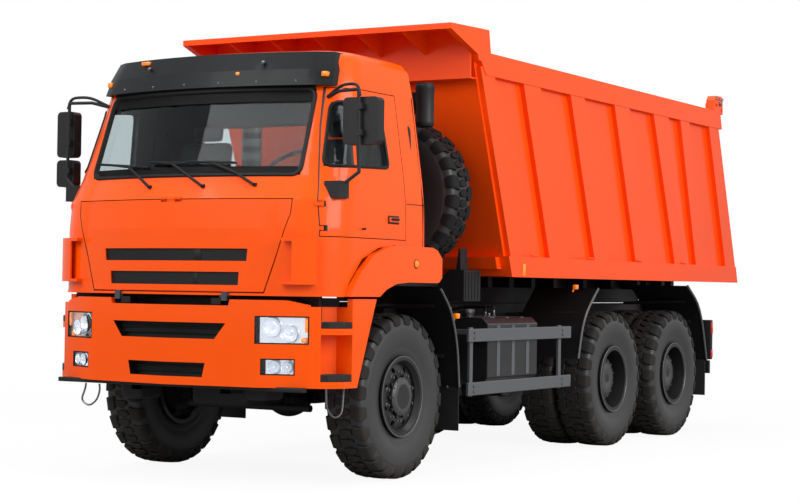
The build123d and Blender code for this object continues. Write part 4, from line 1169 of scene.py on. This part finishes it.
@dataclass
class Doors:
    """Door skins with their handles, gaskets and mirrors."""

    bench: Bench
    window: Pairs = ((-958, 2212), (-796, 2668), (-330, 2700), (-290, 2235))
    """The side window's outline, as y and z."""

    def _side(self, y: float, z: float, proud: float) -> Triple:
        """Sets a point off the door's side skin.

        Args:
            y: Distance from the front axle.
            z: Height.
            proud: Distance outside the skin.

        Returns:
            The point on the left door.
        """
        front, drop, corner, half = FACE.row(z)
        start = front + drop + corner
        x = half if y >= start else half - corner + math.sqrt(max(corner * corner - (start - y) ** 2, 0.0))
        return (x + proud, y, z)

    def _gasket(self) -> Shape:
        """Runs the rubber round a door's window."""
        (y0, z0), (y1, z1) = self.window[-1], self.window[0]
        start = ((y0 + y1) / 2, (z0 + z1) / 2)
        run = Shape.eased([(0.0, y, z) for y, z in (start, *self.window, start)], 55.0, 4)
        points = []
        for a, b in zip(run, run[1:]):
            n = max(1, math.ceil((b - a).length / 90.0))
            points += [self._side(a.y + (b.y - a.y) * i / n, a.z + (b.z - a.z) * i / n, -4.0) for i in range(n)]
        return Shape().pipe(points, 13.0, sides=8, ring=True)

    def build(self) -> None:
        """Builds both doors."""
        for side, sgn in SIDES:
            self.bench.from_node(f"door_{side}", Coat.CAB_PAINT, 0.005, angle=32, lining=Coat.CABIN, lined=inside_cab)
            self.bench.from_node(f"mirror_{side}", Coat.TRIM, 0.008, 3)
            gasket, handle, pane = self._gasket(), Shape(), Shape()
            lock = self._side(-250, 1868, 0)[0]
            handle.box((lock - 4, lock + 5), (-352, -196), (1838, 1898), 6, 3)
            grip = ((4, -330, 1868), (26, -318, 1872), (26, -236, 1872), (4, -224, 1868))
            handle.pipe([(lock + x, y, z) for x, y, z in grip], 9, 14, 8)
            handle.bar((lock + 2, -206, 1868), (lock + 8, -206, 1868), 9, sides=14, soft=1)
            handle.pipe([self._side(-700, 1790, 4), self._side(-700, 1790, 30)], 7, 0, 8)
            low, high = (2361, 2686) if sgn > 0 else (2332, 2676)
            pane.box((1256 if sgn < 0 else 1142, 1400), (-783, -774), (low + 14, high - 14), 4, 2)
            bracket = [(965, -798, 2706), (1110, -848, 2778), (1262, -886, 2776), (1286, -892, 2690)]
            arm = Shape().pipe(bracket, 11, 60, 10)
            if sgn < 0:
                pane.box((1256, 1400), (-783, -774), (2124, 2298), 4, 2)
                for shape in (gasket, handle, pane, arm):
                    shape.to_right()
            self.bench.piece(f"mirror_arm_{side}", arm, f"{side}_door", Coat.TRIM)
            self.bench.piece(f"window_gasket_{side}", gasket, f"{side}_door", Coat.RUBBER)
            self.bench.piece(f"door_handle_{side}", handle, f"{side}_door", Coat.TRIM)
            self.bench.piece(f"mirror_pane_{side}", pane, f"{side}_door", Coat.CHROME)


@dataclass
class Cabin:
    """Seats, dash and steering wheel."""

    bench: Bench

    def _seat(self, x: float) -> tuple[Shape, Shape]:
        """Builds a seat's cushions and its base.

        Args:
            x: The seat's middle.

        Returns:
            The cushions and the base.
        """
        soft, hard = Shape(), Shape()
        soft.box((x - 245, x + 245), (-555, -75), (1890, 2010), 45, 4)
        back = Shape().box((x - 230, x + 230), (-150, -50), (2000, 2480), 45, 4)
        back.box((x - 130, x + 130), (-140, -60), (2495, 2618), 35, 4)
        lean = Matrix.Rotation(math.radians(-8), 3, "X")
        bmesh.ops.rotate(back.bm, cent=(x, -80, 2000), matrix=lean, verts=back.bm.verts)
        soft.add(back, Matrix.Identity(4))
        back.bm.free()
        hard.box((x - 200, x + 200), (-500, -120), (1745, 1885), 12, 2)
        return soft, hard

    def build(self) -> None:
        """Builds the cabin."""
        hard = Shape()
        for side, x in (("left", 620.0), ("right", -620.0)):
            soft, base = self._seat(x)
            seat = self.bench.piece(f"seat_{side}", soft, "cab", Coat.SEAT, smooth=60)
            self.bench.piece(f"seat_base_{side}", base, "cab", Coat.CABIN)
        dash = [(-990, -770), (990, -770), (990, -840), (855, -950), (-855, -950), (-990, -840)]
        hard.plate(dash, "z", 1745, 2085, 30, 3)
        hard.plate([(-930, -800), (-860, -800), (-860, -1000), (-870, -930)], "z", 1800, 1900, 0)
        hard.box((380, 860), (-900, -700), (2075, 2150), 30, 3).box((-230, 230), (-830, -735), (1850, 2060), 12, 2)
        hard.bar((600, -800, 2060), (600, -680, 2190), 32, 28, 16)
        self.bench.piece("dashboard", hard, "cab", Coat.CABIN, nodes=("cab_interior",))
        wheel = Shape()
        tilt = Matrix.Translation((600, -650, 2225)) @ Matrix.Rotation(math.radians(38), 4, "X")
        turns = [math.tau * i / 36 for i in range(36)]
        ring = [tilt @ Vector((225 * math.cos(a), 225 * math.sin(a), 0)) for a in turns]
        wheel.pipe(ring, 16, sides=10, ring=True)
        for a in (0, math.pi / 2, math.pi):
            spoke = [tilt @ Vector((math.cos(a) * r, math.sin(a) * r, z)) for r, z in ((40, -30), (130, -18), (222, 0))]
            wheel.pipe(spoke, 12, 30, 8)
        wheel.bar(tilt @ Vector((0, 0, -50)), tilt @ Vector((0, 0, -8)), 62, 52, 28, 6)
        self.bench.piece("steering_wheel", wheel, "cab", Coat.TRIM)
        lining = Shape().box((-960, 960), (118, 124), (1760, 2200), 2, 1)
        lining.box((-1010, -990), (-760, 110), (1760, 2150), 4, 2)
        self.bench.piece("cabin_lining", lining, "cab", Coat.CABIN)


# ------------------------------------------------------------------ front end
def in_slot(place: Vector) -> bool:
    """Tells whether a point lies on the inner walls of the bumper's middle openings.

    Args:
        place: The point, in metres in the part's frame.

    Returns:
        Whether it is between the openings' ends and behind the face.
    """
    x, y, z = in_mm(place)
    return x < 492 and 750 < z < 1136 and y > -1353 + 60 * x / 486


@dataclass
class FrontEnd:
    """Bumper, steps, lamps and grilles."""

    bench: Bench
    lamp: tuple[float, float, float, float] = (705.0, 1052.0, 995.0, 1185.0)
    fog: tuple[float, float, float, float] = (745.0, 965.0, 785.0, 897.0)
    """Each lamp's opening: lowest and highest x, lowest and highest z."""
    slant: tuple[float, float] = (145.0, 341.0)
    """How far the bumper's face falls back at a lamp, over what width."""
    bowls: tuple[Triple, ...] = ((790, 1108, 62), (905, 1068, 54), (810, 841, 40), (890, 841, 34))
    """Each reflector: x, z and radius."""

    def _lamp_y(self, x: float, depth: float) -> float:
        """Finds the bumper's face between the lamp's two ends.

        Args:
            x: Distance from the middle.
            depth: How far behind the face.

        Returns:
            The y value.
        """
        return -1270.0 + (abs(x) - 709.0) * (self.slant[0] / self.slant[1]) + depth

    def _slanted(self, shape: Shape, x0: float, x1: float, z0: float, z1: float, d0: float, d1: float,
                 soft: float) -> None:
        """Adds a block that follows the slant of the bumper at a lamp.

        Args:
            shape: Where it goes.
            x0: Inner side.
            x1: Outer side.
            z0: Foot.
            z1: Head.
            d0: How far behind the face it starts.
            d1: How far behind the face it ends.
            soft: Rounding of its edges.
        """
        plan = [(x, self._lamp_y(x, d)) for x, d in ((x0, d0), (x1, d0), (x1, d1), (x0, d1))]
        shape.plate(plan, "z", z0, z1, soft, 2)

    def lamps(self) -> None:
        """Builds the headlamps and fog lamps."""
        case, bowl, lens, amber = Shape(), Shape(), Shape(), Shape()
        rim = 9.0
        for x0, x1, z0, z1 in (self.lamp, self.fog):
            self._slanted(case, x0 + 1, x1 - 1, z0 + 1, z1 - 1, 62, 68, 0)
            for edge in ((x0 + 1, x0 + rim, z0 + 1, z1 - 1), (x1 - rim, x1 - 1, z0 + 1, z1 - 1),
                         (x0 + 1, x1 - 1, z0 + 1, z0 + rim), (x0 + 1, x1 - 1, z1 - rim, z1 - 1)):
                self._slanted(case, *edge, 1, 66, 1.5)
            self._slanted(lens, x0 + rim, x1 - rim, z0 + rim, z1 - rim, 5, 9, 1.0)
            self._slanted(bowl, x0 + rim, x1 - rim, z0 + rim, z1 - rim, 58, 61, 0)
        turn = math.atan2(*self.slant)
        normal = Vector((math.sin(turn), -math.cos(turn), 0))
        for x, z, r in self.bowls:
            seat = Vector((x, self._lamp_y(x, 56), z))
            dish = [(0, 0), (2, r * 0.35), (12, r * 0.7), (30, r * 0.92), (42, r), (44, r + 3), (38, r + 3),
                    (26, r * 0.95), (8, r * 0.72), (-3, r * 0.3), (-3, 0)]
            bowl.lathe(dish, seat, normal, 32, closed=False)
            bowl.bar(seat + normal * 4, seat + normal * 26, 9, 7, 12, 2)
        self._slanted(amber, 1018, 1042, 1078, 1176, 12, 42, 4)
        self._slanted(amber, 985, 1020, 1010, 1044, 30, 44, 4)
        for shape in (case, bowl, lens, amber):
            shape.both()
        tail_case = Shape().box((975, 1175), (6140, 6205), (700, 1100), 8, 2).both()
        self.bench.piece("lamp_cases", case, "chassis", Coat.RUBBER, nodes=("road_lamps",))
        self.bench.piece("lamp_bowls", bowl, "chassis", Coat.REFLECTOR)
        self.bench.piece("lamp_lenses", lens, "chassis", Coat.LENS)
        self.bench.piece("corner_indicators", amber, "chassis", Coat.AMBER)
        self.bench.piece("tail_lamp_cases", tail_case, "chassis", Coat.TRIM)
        red, orange, white = Shape(), Shape(), Shape()
        for z0, z1, shape in ((990, 1088, red), (900, 984, orange), (806, 894, white), (712, 800, red)):
            shape.box((985, 1165), (6198, 6212), (z0, z1), 5, 2)
        red.box((1168, 1182), (6150, 6196), (960, 1080), 4, 2).box((1168, 1182), (6150, 6196), (720, 800), 4, 2)
        self.bench.piece("tail_red", red.both(), "chassis", Coat.RED)
        self.bench.piece("tail_amber", orange.both(), "chassis", Coat.AMBER)
        self.bench.piece("tail_white", white.both(), "chassis", Coat.PALE)

    def grilles(self) -> None:
        """Fills the slots of the front panel and the bumper."""
        ribs = Shape()
        for half, z0, z1 in ((612.0, 1555.0, 1640.0), (552.0, 1390.0, 1480.0)):
            for z in (z0 * 0.7 + z1 * 0.3, z0 * 0.3 + z1 * 0.7):
                for s in (1, -1):
                    ribs.pipe(FACE.run([(0.0, z), (s * half, z)], -16.0, 150.0), 3.0, 0, 6)
            front = FACE.y(0, z0)
            ribs.box((-half * 0.1, half * 0.42), (front + 20, front + 44), (z0 + 4, z1 - 4), 4, 2)
        self.bench.piece("front_slats", ribs, "grille_panel", Coat.CHASSIS)
        slats = Shape()
        for half, z0, z1 in ((440.0, 1020.0, 1130.0), (320.0, 757.0, 855.0)):
            for k in (1, 2):
                z = z0 + (z1 - z0) * k / 3
                slats.box((-half, half), (-1262, -1246), (z - 3, z + 3), 1, 1)
        slats.box((-500, 500), (-1236, -1232), (740, 1150), 0).box((-1066, 1066), (-1020, -985), (1150, 1345), 4, 1)
        self.bench.piece("bumper_slats", slats, "chassis", Coat.CHASSIS)

    def steps(self) -> None:
        """Dresses the bumper and its step treads, and hangs the tow loops."""
        self.bench.from_node("step_treads", Coat.TRIM, 0.004)
        self.bench.from_node("bumper", Coat.CAB_PAINT, 0.012, 3, angle=32, lining=Coat.CHASSIS, lined=in_slot)
        loops = Shape()
        right = ((-866, 664), (-871, 627), (-911, 539), (-835, 497), (-762, 545), (-736, 618), (-742, 664))
        left = ((-1040, 720), (-1030, 560), (-933, 490), (-832, 519), (-812, 720))
        loops.pipe([(x, -1130, z) for x, z in right], 7, 40, 8)
        loops.pipe([(1140, y, z) for y, z in left], 7, 50, 8)
        self.bench.piece("tow_loops", loops, "chassis", Coat.ZINC)

    def build(self) -> None:
        """Builds the front end."""
        self.lamps()
        self.grilles()
        self.steps()


# ------------------------------------------------------------------ body
@dataclass
class TipBody:
    """The tipping body, its tailgate and what is fixed to them."""

    bench: Bench

    def build(self) -> None:
        """Builds the body's pieces."""
        for node, bevel in (("dump_body", 0.006), ("tailgate", 0.005)):
            self.bench.from_node(node, Coat.BODY_PAINT, bevel, angle=30)
        self.bench.from_node("bed_frame", Coat.CHASSIS, 0.004, 1, angle=40)
        yellow, bolts = Shape(), Shape()
        yellow.box((1243, 1249), (1702, 1754), (1497, 1592), 3, 2)
        self.bench.piece("body_reflector", yellow.both(), "bed", Coat.AMBER)
        for y in (6060, 6140, 6215):
            bolts.nut((1243, y, 3340), (1, 0, 0), 15, 12)
        bolts.bar((1150, 6150, 3290), (1262, 6150, 3290), 20, sides=18, soft=3)
        self.bench.piece("gate_pins", bolts.both(), "bed", Coat.ZINC)
        hooks = Shape()
        for y in (1900, 3000, 4100, 5200):
            hooks.pipe([(x, y + way, 1662) for x, way in ((1236, -50), (1262, -40), (1262, 40), (1236, 50))], 8, 18, 8)
        self.bench.piece("rope_hooks", hooks.both(), "bed", Coat.BODY_PAINT)


# ------------------------------------------------------------------ chassis
@dataclass
class Chassis:
    """Everything under and behind the cab."""

    bench: Bench
    arches: tuple[tuple[float, float, float, Pairs], ...] = (
        (760, 1200, 9, ((430, 1380), (600, 1220), (700, 960), (735, 640))),
        (600, 1212, 11, ((2858, 800), (2958, 1150), (3258, 1402))),
        (600, 1212, 11, ((5388, 1442), (5750, 1232), (5932, 700))))
    # Each mudguard: inner and outer x, the radius of its rim, which is painted light grey as a highlight, and its line
    # as y and z before its corners are eased.
    """Each mudguard: inner and outer x, its rim's radius, and its line as y and z before its corners are eased."""
    arch_bend: float = 260.0
    bar_top: float = 0.6942
    bar_back: float = (-1149 + 1000 * FRONT_AXLE_Y) / 1000
    """The frame's faces below bar_top and in front of bar_back are its front bar, in metres."""

    def skins(self) -> None:
        """Rounds the edges of the chassis nodes."""
        self.bench.from_node("chassis_frame", Coat.CHASSIS, 0.003, angle=35,
                             keep=lambda p: not (p.z < self.bar_top and p.y < self.bar_back))
        underrun = Shape().box((-1060, 1060), (-1212, -1152), (674, 706), 4, 2)
        self.bench.piece("front_underrun", underrun, "chassis", Coat.CHASSIS)
        wide = 0.01
        for node, bevel in (("tipping_subframe", 0.003), ("driveline", 0.012), ("front_axle", 0.008),
                            ("rear_axles", 0.008), ("fuel_tank", 0.028), ("air_tanks", 0.018), ("exhaust", 0.012),
                            ("air_intake", 0.022), ("spare_carrier", 0.006), ("rear_hitch", 0.006),
                            ("engine_block", 0.02)):
            coat = Coat.CASTING if node == "exhaust" else NODE_COATS.get(node, Coat.CHASSIS)
            self.bench.from_node(node, coat, bevel, 3 if bevel > wide else 2, angle=35)
        for side in ("left", "right"):
            self.bench.from_node(f"side_guard_{side}", Coat.GUARD, 0.006, 3)
            self.mudguard(side)
            self.bench.from_node(f"knuckle_{side}", Coat.CASTING, 0.005)

    def mudguard(self, side: str) -> None:
        """Bends one side's mudguards and hangs their flaps.

        Args:
            side: left or right.
        """
        shape = Shape()
        for inner, outer, _, line in self.arches:
            run = Shape.eased([(0.0, y, z) for y, z in line], self.arch_bend, 8)
            shape.sheet([[(x, p.y, p.z) for p in run] for x in (inner, outer)], 7.0)
            for k in (2, len(run) - 4):
                y, z = run[k].yz
                shape.pipe([(440, y, z - 40), (outer - 120, y, z - 14)], 15, 0, 8)
        shape.box((760, 1200), (735, 743), (310, 660), 3, 1).box((600, 1200), (5928, 5936), (350, 705), 3, 1)
        if side == "right":
            shape.to_right()
        self.bench.piece(f"mudguards_{side}_skin", shape, "chassis", Coat.FLAP, nodes=(f"mudguards_{side}",))

    def belly(self) -> None:
        """Adds the sump, tie rod, steering gear and leaf springs under the front."""
        shape = Shape().box((-230, 250), (-720, -160), (520, 760), 45, 3)
        shape.box((-640, -450), (-1020, -760), (560, 800), 30, 3)
        shape.bar((-540, -300, 500), (540, -300, 500), 26, sides=16).box((440, 620), (-1000, -760), (590, 800), 30, 3)
        for s in (1, -1):
            for k in range(6):
                reach = 880 - 110 * k
                leaf = [(y, 742 - 22 * k - 110 * (1 - (y / 880) ** 2)) for y in range(-reach, reach + 1, reach // 4)]
                shape.sheet([[(s * x, y, z) for y, z in leaf] for x in (348, 436)], 16.0)
        self.bench.piece("front_belly", shape, "chassis", Coat.CASTING)

    def tank(self) -> None:
        """Adds the straps, cap, fittings and hoses of the fuel tank."""
        straps, fittings, hoses = Shape(), Shape(), Shape()
        for y in (1420, 1680, 1940):
            for z in (642, 1157):
                straps.box((620, 1130), (y - 26, y + 26), (z - 4, z + 7), 2, 1)
            straps.box((1178, 1184), (y - 26, y + 26), (700, 1100), 2, 1)
            straps.bar((1132, y, 1150), (1178, y, 1104), 4, sides=6)
        cap = [(0, 52), (10, 58), (34, 58), (40, 52), (42, 0), (0, 0)]
        fittings.lathe(cap, (900, 1420, 1186), (0, 0, 1), 28, closed=False)
        for x, y, h in ((760, 1700, 30), (960, 1760, 44), (820, 1880, 26), (1020, 1560, 22), (700, 1500, 60)):
            fittings.nut((x, y, 1160), (0, 0, 1), 20, 14)
            fittings.bar((x, y, 1172), (x, y, 1172 + h), 11, sides=14, soft=2)
        for radius, bend, run in (
                (11, 60, [(960, 1760, 1212), (960, 1760, 1250), (780, 1700, 1250), (480, 1640, 1180),
                          (440, 1600, 1110)]),
                (9, 50, [(820, 1880, 1196), (820, 1880, 1236), (640, 1900, 1232), (446, 1900, 1120)]),
                (13, 50, [(700, 1500, 1230), (640, 1500, 1262), (520, 1440, 1220), (446, 1380, 1120)])):
            hoses.pipe(run, radius, bend, 8)
        self.bench.piece("tank_straps", straps, "chassis", Coat.GUARD)
        self.bench.piece("tank_fittings", fittings, "chassis", Coat.ZINC)
        self.bench.piece("tank_hoses", hoses, "chassis", Coat.RUBBER)

    def rails(self) -> None:
        """Adds bolts, lines, spring clamps and brake chambers along the frame rails."""
        bolts, lines = Shape(), Shape()
        for y in range(-900, 5900, 240):
            for z in (920, 1075):
                bolts.nut((432, y, z), (1, 0, 0), 13, 10)
        bolts.both()
        self.bench.piece("rail_bolts", bolts, "chassis", Coat.CASTING)
        for k, z in enumerate((1010, 1034, 1056)):
            run = ((-600, 0), (1200, 0), (2400, 14), (4600, 0), (6000, 0))
            lines.pipe([(441 + 2 * k, y, z - sag) for y, sag in run], 7, 60, 8)
        self.bench.piece("air_lines", lines, "chassis", Coat.RUBBER)
        clamps = Shape()
        for y in (-62, 62):
            for x in (352, 432):
                clamps.bar((x, y, 560), (x, y, 850), 11, sides=12)
                clamps.nut((x, y, 545), (0, 0, -1), 18, 14)
        for y in (4250, 4390):
            for x in (450, 540):
                clamps.bar((x, y, 640), (x, y, 820), 13, sides=12)
        clamps.both()
        self.bench.piece("spring_clamps", clamps, "chassis", Coat.CASTING)
        pots = Shape()
        pot = [(0, 0), (0, 70), (8, 82), (60, 84), (66, 92), (76, 92), (82, 84), (120, 80), (134, 60), (136, 0)]
        for y in (3600, 5040):
            for s in (1, -1):
                pots.lathe(pot, (s * 430, y + 190, 640), (0, 1, 0), 28, closed=False)
        self.bench.piece("brake_pots", pots, "chassis", Coat.CASTING)

    def guards(self) -> None:
        """Adds edges, bolts and markers to the guards and mudguards; the mudguards' edges are painted a lighter grey as
        a highlight along their lips.
        """
        rims, bolts, amber = Shape(), Shape(), Shape()
        for _, outer, radius, line in self.arches:
            # A lighter grey bar along each mudguard's outer lip: a painted highlight.
            rims.pipe([(outer + 3, y, z) for y, z in line], radius, self.arch_bend, 8)
        self.bench.piece("mudguard_edge_highlights", rims.both(), "chassis", Coat.GUARD)
        for y in (928, 2510):
            for z in (1010, 1050, 600, 640):
                bolts.nut((1228, y, z), (1, 0, 0), 12, 9)
        for x in (700, 900, 1100):
            bolts.nut((x, 5936, 680), (0, 1, 0), 12, 9)
            bolts.nut((x, 735, 640), (0, -1, 0), 12, 9)
        self.bench.piece("guard_bolts", bolts.both(), "chassis", Coat.ZINC)
        for y, z in ((707, 1180), (2845, 1413)):
            amber.box((1172, 1204), (y - 28, y + 28), (z - 20, z + 20), 6, 2)
            amber.bar((1160, y, z - 40), (1180, y, z), 8, sides=8)
        self.bench.piece("side_markers", amber.both(), "chassis", Coat.AMBER)
        plate = Shape().box((-260, 260), (6181, 6185), (575, 680), 3, 1)
        self.bench.piece("number_plate_place", plate, "chassis", Coat.PALE)

    def breathers(self) -> None:
        """Adds the bands, rings and ribs of the intake, exhaust and filter box."""
        bands, capsule = Shape(), Shape()
        for z in (1600, 2300, 2880):
            bands.lathe([(0, 96), (0, 101), (26, 101), (26, 96)], (760, 480, z), (0, 0, 1), 32)
        pod = [(-8, 0), (-8, 40), (0, 66), (10, 72), (36, 74), (46, 70), (270, 70), (280, 74), (304, 72), (316, 60),
               (322, 0)]
        capsule.lathe(pod, (1060, 400, 2596), (0, 0, 1), 40, closed=False)
        self.bench.piece("intake_bands", bands, "chassis", Coat.GUARD)
        self.bench.piece("intake_capsule", capsule, "chassis", Coat.TRIM)
        shield = Shape()
        for k in range(11):
            shield.lathe([(0, 77), (0, 84), (60, 84), (60, 77)], (-560, 480, 1500 + k * 110), (0, 0, 1), 32)
        self.bench.piece("exhaust_shield", shield, "chassis", Coat.ZINC)
        ribs = Shape()
        for k in range(5):
            ribs.box((1056, 1066), (1080 + k * 52, 1092 + k * 52), (1300, 1520), 2, 1)
        self.bench.piece("filter_box_ribs", ribs, "chassis", Coat.TRIM)

    def build(self) -> None:
        """Builds the chassis's pieces."""
        self.skins()
        self.belly()
        self.tank()
        self.rails()
        self.guards()
        self.breathers()


# ------------------------------------------------------------------ studio
@dataclass
class Studio:
    """The camera, lamps, floor and backdrop."""

    eye: Point = (7.76345, -11.43756 + FRONT_AXLE_Y, 1.40047)
    yaw: float = 0.5277759
    pitch: float = 0.0197115
    roll: float = 0.0142511
    focal_px: float = 1823.47
    width_px: float = 800.0
    sensor: float = 36.0
    lamps: Sequence[tuple[str, Point, Point, float, float]] = (
        ("key", (-3.0, -13.0, 9.0), (0.0, -2.0, 1.5), 8.0, 1050.0),
        ("side", (13.0, -3.0, 7.0), (0.0, 1.0, 1.5), 8.0, 1400.0),
        ("top", (0.0, 0.0, 13.0), (0.0, 0.0, 0.0), 12.0, 900.0),
    )
    """Each lamp: name, place, what it aims at, size and power."""
    ambient: float = 0.5
    """The world's light."""
    sheen: float = 0.42
    """How much of the white backdrop shows in a reflection."""
    glow: float = 0.92
    """The floor's brightness near the truck."""
    fade: tuple[float, float] = (4.5, 11.0)
    """Where the floor starts to brighten and where it is white."""
    bounce: float = 0.3
    """How light the floor is to all but the camera."""

    def camera(self) -> None:
        """Sets up the camera at its fitted place."""
        fwd0 = Vector((-math.sin(self.yaw), math.cos(self.yaw), 0.0))
        right0 = Vector((math.cos(self.yaw), math.sin(self.yaw), 0.0))
        up0 = Vector((0.0, 0.0, 1.0))
        fwd = fwd0 * math.cos(self.pitch) + up0 * math.sin(self.pitch)
        up = up0 * math.cos(self.pitch) - fwd0 * math.sin(self.pitch)
        right = right0 * math.cos(self.roll) + up * math.sin(self.roll)
        up = up * math.cos(self.roll) - right0 * math.sin(self.roll)
        data = bpy.data.cameras.new("camera")
        data.sensor_width = self.sensor
        data.sensor_fit = "HORIZONTAL"
        data.lens = self.focal_px / self.width_px * self.sensor
        data.clip_end = 200.0
        cam = bpy.data.objects.new("camera", data)
        cam.matrix_world = Matrix(((right.x, up.x, -fwd.x, self.eye[0]), (right.y, up.y, -fwd.y, self.eye[1]),
                                   (right.z, up.z, -fwd.z, self.eye[2]), (0, 0, 0, 1)))
        bpy.context.scene.collection.objects.link(cam)
        bpy.context.scene.camera = cam

    def light(self) -> None:
        """Hangs the soft lamps and colours the world."""
        for name, place, aim, size, power in self.lamps:
            data = bpy.data.lights.new(name, "AREA")
            data.size = size
            data.energy = power
            lamp = bpy.data.objects.new(name, data)
            lamp.location = place
            lamp.rotation_euler = (Vector(aim) - Vector(place)).to_track_quat("-Z", "Y").to_euler()
            bpy.context.scene.collection.objects.link(lamp)
        world = bpy.data.worlds.new("studio")
        bpy.context.scene.world = world
        world.use_nodes = True
        world.node_tree.nodes.clear()
        add, link = node_adder(world.node_tree), world.node_tree.links.new
        out, mix, path = add("OutputWorld"), add("MixShader"), add("LightPath")
        soft = add("Background", inputs={"Color": (0.95, 0.97, 1.0, 1), "Strength": self.ambient})
        white = add("Background", inputs={"Color": (1, 1, 1, 1), "Strength": 1.0})
        seen, clear = add("Math", "MAXIMUM"), add("Math", "MAXIMUM")
        gloss = add("Math", "MULTIPLY", {1: self.sheen})
        link(path.outputs["Is Glossy Ray"], gloss.inputs[0])
        link(path.outputs["Is Camera Ray"], seen.inputs[0])
        link(gloss.outputs[0], seen.inputs[1])
        link(seen.outputs[0], clear.inputs[0])
        link(path.outputs["Is Transmission Ray"], clear.inputs[1])
        link(clear.outputs[0], mix.inputs[0])
        link(soft.outputs[0], mix.inputs[1])
        link(white.outputs[0], mix.inputs[2])
        link(mix.outputs[0], out.inputs["Surface"])

    def floor(self) -> None:
        """Lays a white floor that keeps the shadow and fades into the backdrop."""
        bm = bmesh.new()
        bmesh.ops.create_grid(bm, x_segments=1, y_segments=1, size=60.0)
        mesh = bpy.data.meshes.new("floor")
        bm.to_mesh(mesh)
        bm.free()
        obj = bpy.data.objects.new("floor", mesh)
        bpy.context.scene.collection.objects.link(obj)
        mat = bpy.data.materials.new("floor")
        mat.use_nodes = True
        mat.node_tree.nodes.clear()
        add, link = node_adder(mat.node_tree), mat.node_tree.links.new
        out, mix, path = add("OutputMaterial"), add("MixShader"), add("LightPath")
        diffuse, glow, colour = add("BsdfDiffuse"), add("Emission", inputs={"Strength": 1.0}), add("Mix")
        colour.data_type = "RGBA"
        fill(colour, {"A": (self.bounce, self.bounce, self.bounce, 1), "B": (0.9, 0.9, 0.9, 1)})
        place, far = add("TexCoord"), add("VectorMath", "LENGTH")
        near, white = self.fade
        fade = add("MapRange", inputs={"From Min": near, "From Max": white, "To Min": self.glow, "To Max": 1.0})
        seen, amount = add("Math", "MAXIMUM"), add("Math", "MULTIPLY")
        link(path.outputs["Is Camera Ray"], seen.inputs[0])
        link(path.outputs["Is Transmission Ray"], seen.inputs[1])
        link(place.outputs["Object"], far.inputs[0])
        link(far.outputs["Value"], fade.inputs["Value"])
        link(fade.outputs["Result"], amount.inputs[0])
        link(seen.outputs[0], amount.inputs[1])
        link(seen.outputs[0], colour.inputs["Factor"])
        link(colour.outputs["Result"], diffuse.inputs["Color"])
        link(amount.outputs[0], mix.inputs[0])
        link(diffuse.outputs[0], mix.inputs[1])
        link(glow.outputs[0], mix.inputs[2])
        link(mix.outputs[0], out.inputs["Surface"])
        mesh.materials.append(mat)

    def build(self) -> None:
        """Sets up the whole studio."""
        self.camera()
        self.light()
        self.floor()
        bpy.context.scene.view_settings.view_transform = "Standard"


# ------------------------------------------------------------------ everything together
NODE_COATS: dict[str, Coat] = {node: coat for coat, nodes in (
    (Coat.CAB_PAINT, ("cab_shell", "door_left", "door_right", "front_panel", "fenders", "bumper")),
    (Coat.BODY_PAINT, ("dump_body", "tailgate")),
    (Coat.VISOR, ("sun_visor",)),
    (Coat.TRIM, ("mirror_left", "mirror_right", "air_intake", "step_treads", "wipers")),
    (Coat.GLASS, ("cab_glass", "door_glass_left", "door_glass_right")),
    (Coat.LENS, ("road_lamps",)),
    (Coat.CABIN, ("cab_interior",)),
    (Coat.GUARD, ("side_guard_left", "side_guard_right")),
    (Coat.FLAP, ("mudguards_left", "mudguards_right")),
    (Coat.CASTING, ("engine_block", "driveline", "front_axle", "rear_axles", "knuckle_left", "knuckle_right")),
    (Coat.CHROME, ("hoist_stage_1", "hoist_stage_2", "hoist_stage_3", "hoist_stage_4", "hoist_rod")),
    (Coat.TANK, ("fuel_tank", "air_tanks")),
) for node in nodes}
"""The finish of each CAD node; any other is chassis paint."""


def finish_nodes(shop: Paintshop) -> None:
    """Gives every CAD node its finish.

    Args:
        shop: The finishes.
    """
    for name, obj in frame["nodes"].items():
        coat = Coat.TYRE_PAINTED_LIGHT if "tyre" in name else Coat.RIM if "rim" in name else NODE_COATS.get(name, Coat.CHASSIS)
        shop.dress(obj, coat)


def main() -> None:
    """Builds the studio and every sub-assembly in order."""
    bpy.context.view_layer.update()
    shop = Paintshop()
    Studio().build()
    finish_nodes(shop)
    bench = Bench(shop)
    for assembly in (Wheels, Cab, Doors, Cabin, FrontEnd, TipBody, Chassis):
        assembly(bench).build()
        LOG.info("%s done, %d faces so far", assembly.__name__, bench.count)


if __name__ == "__main__":
    main()
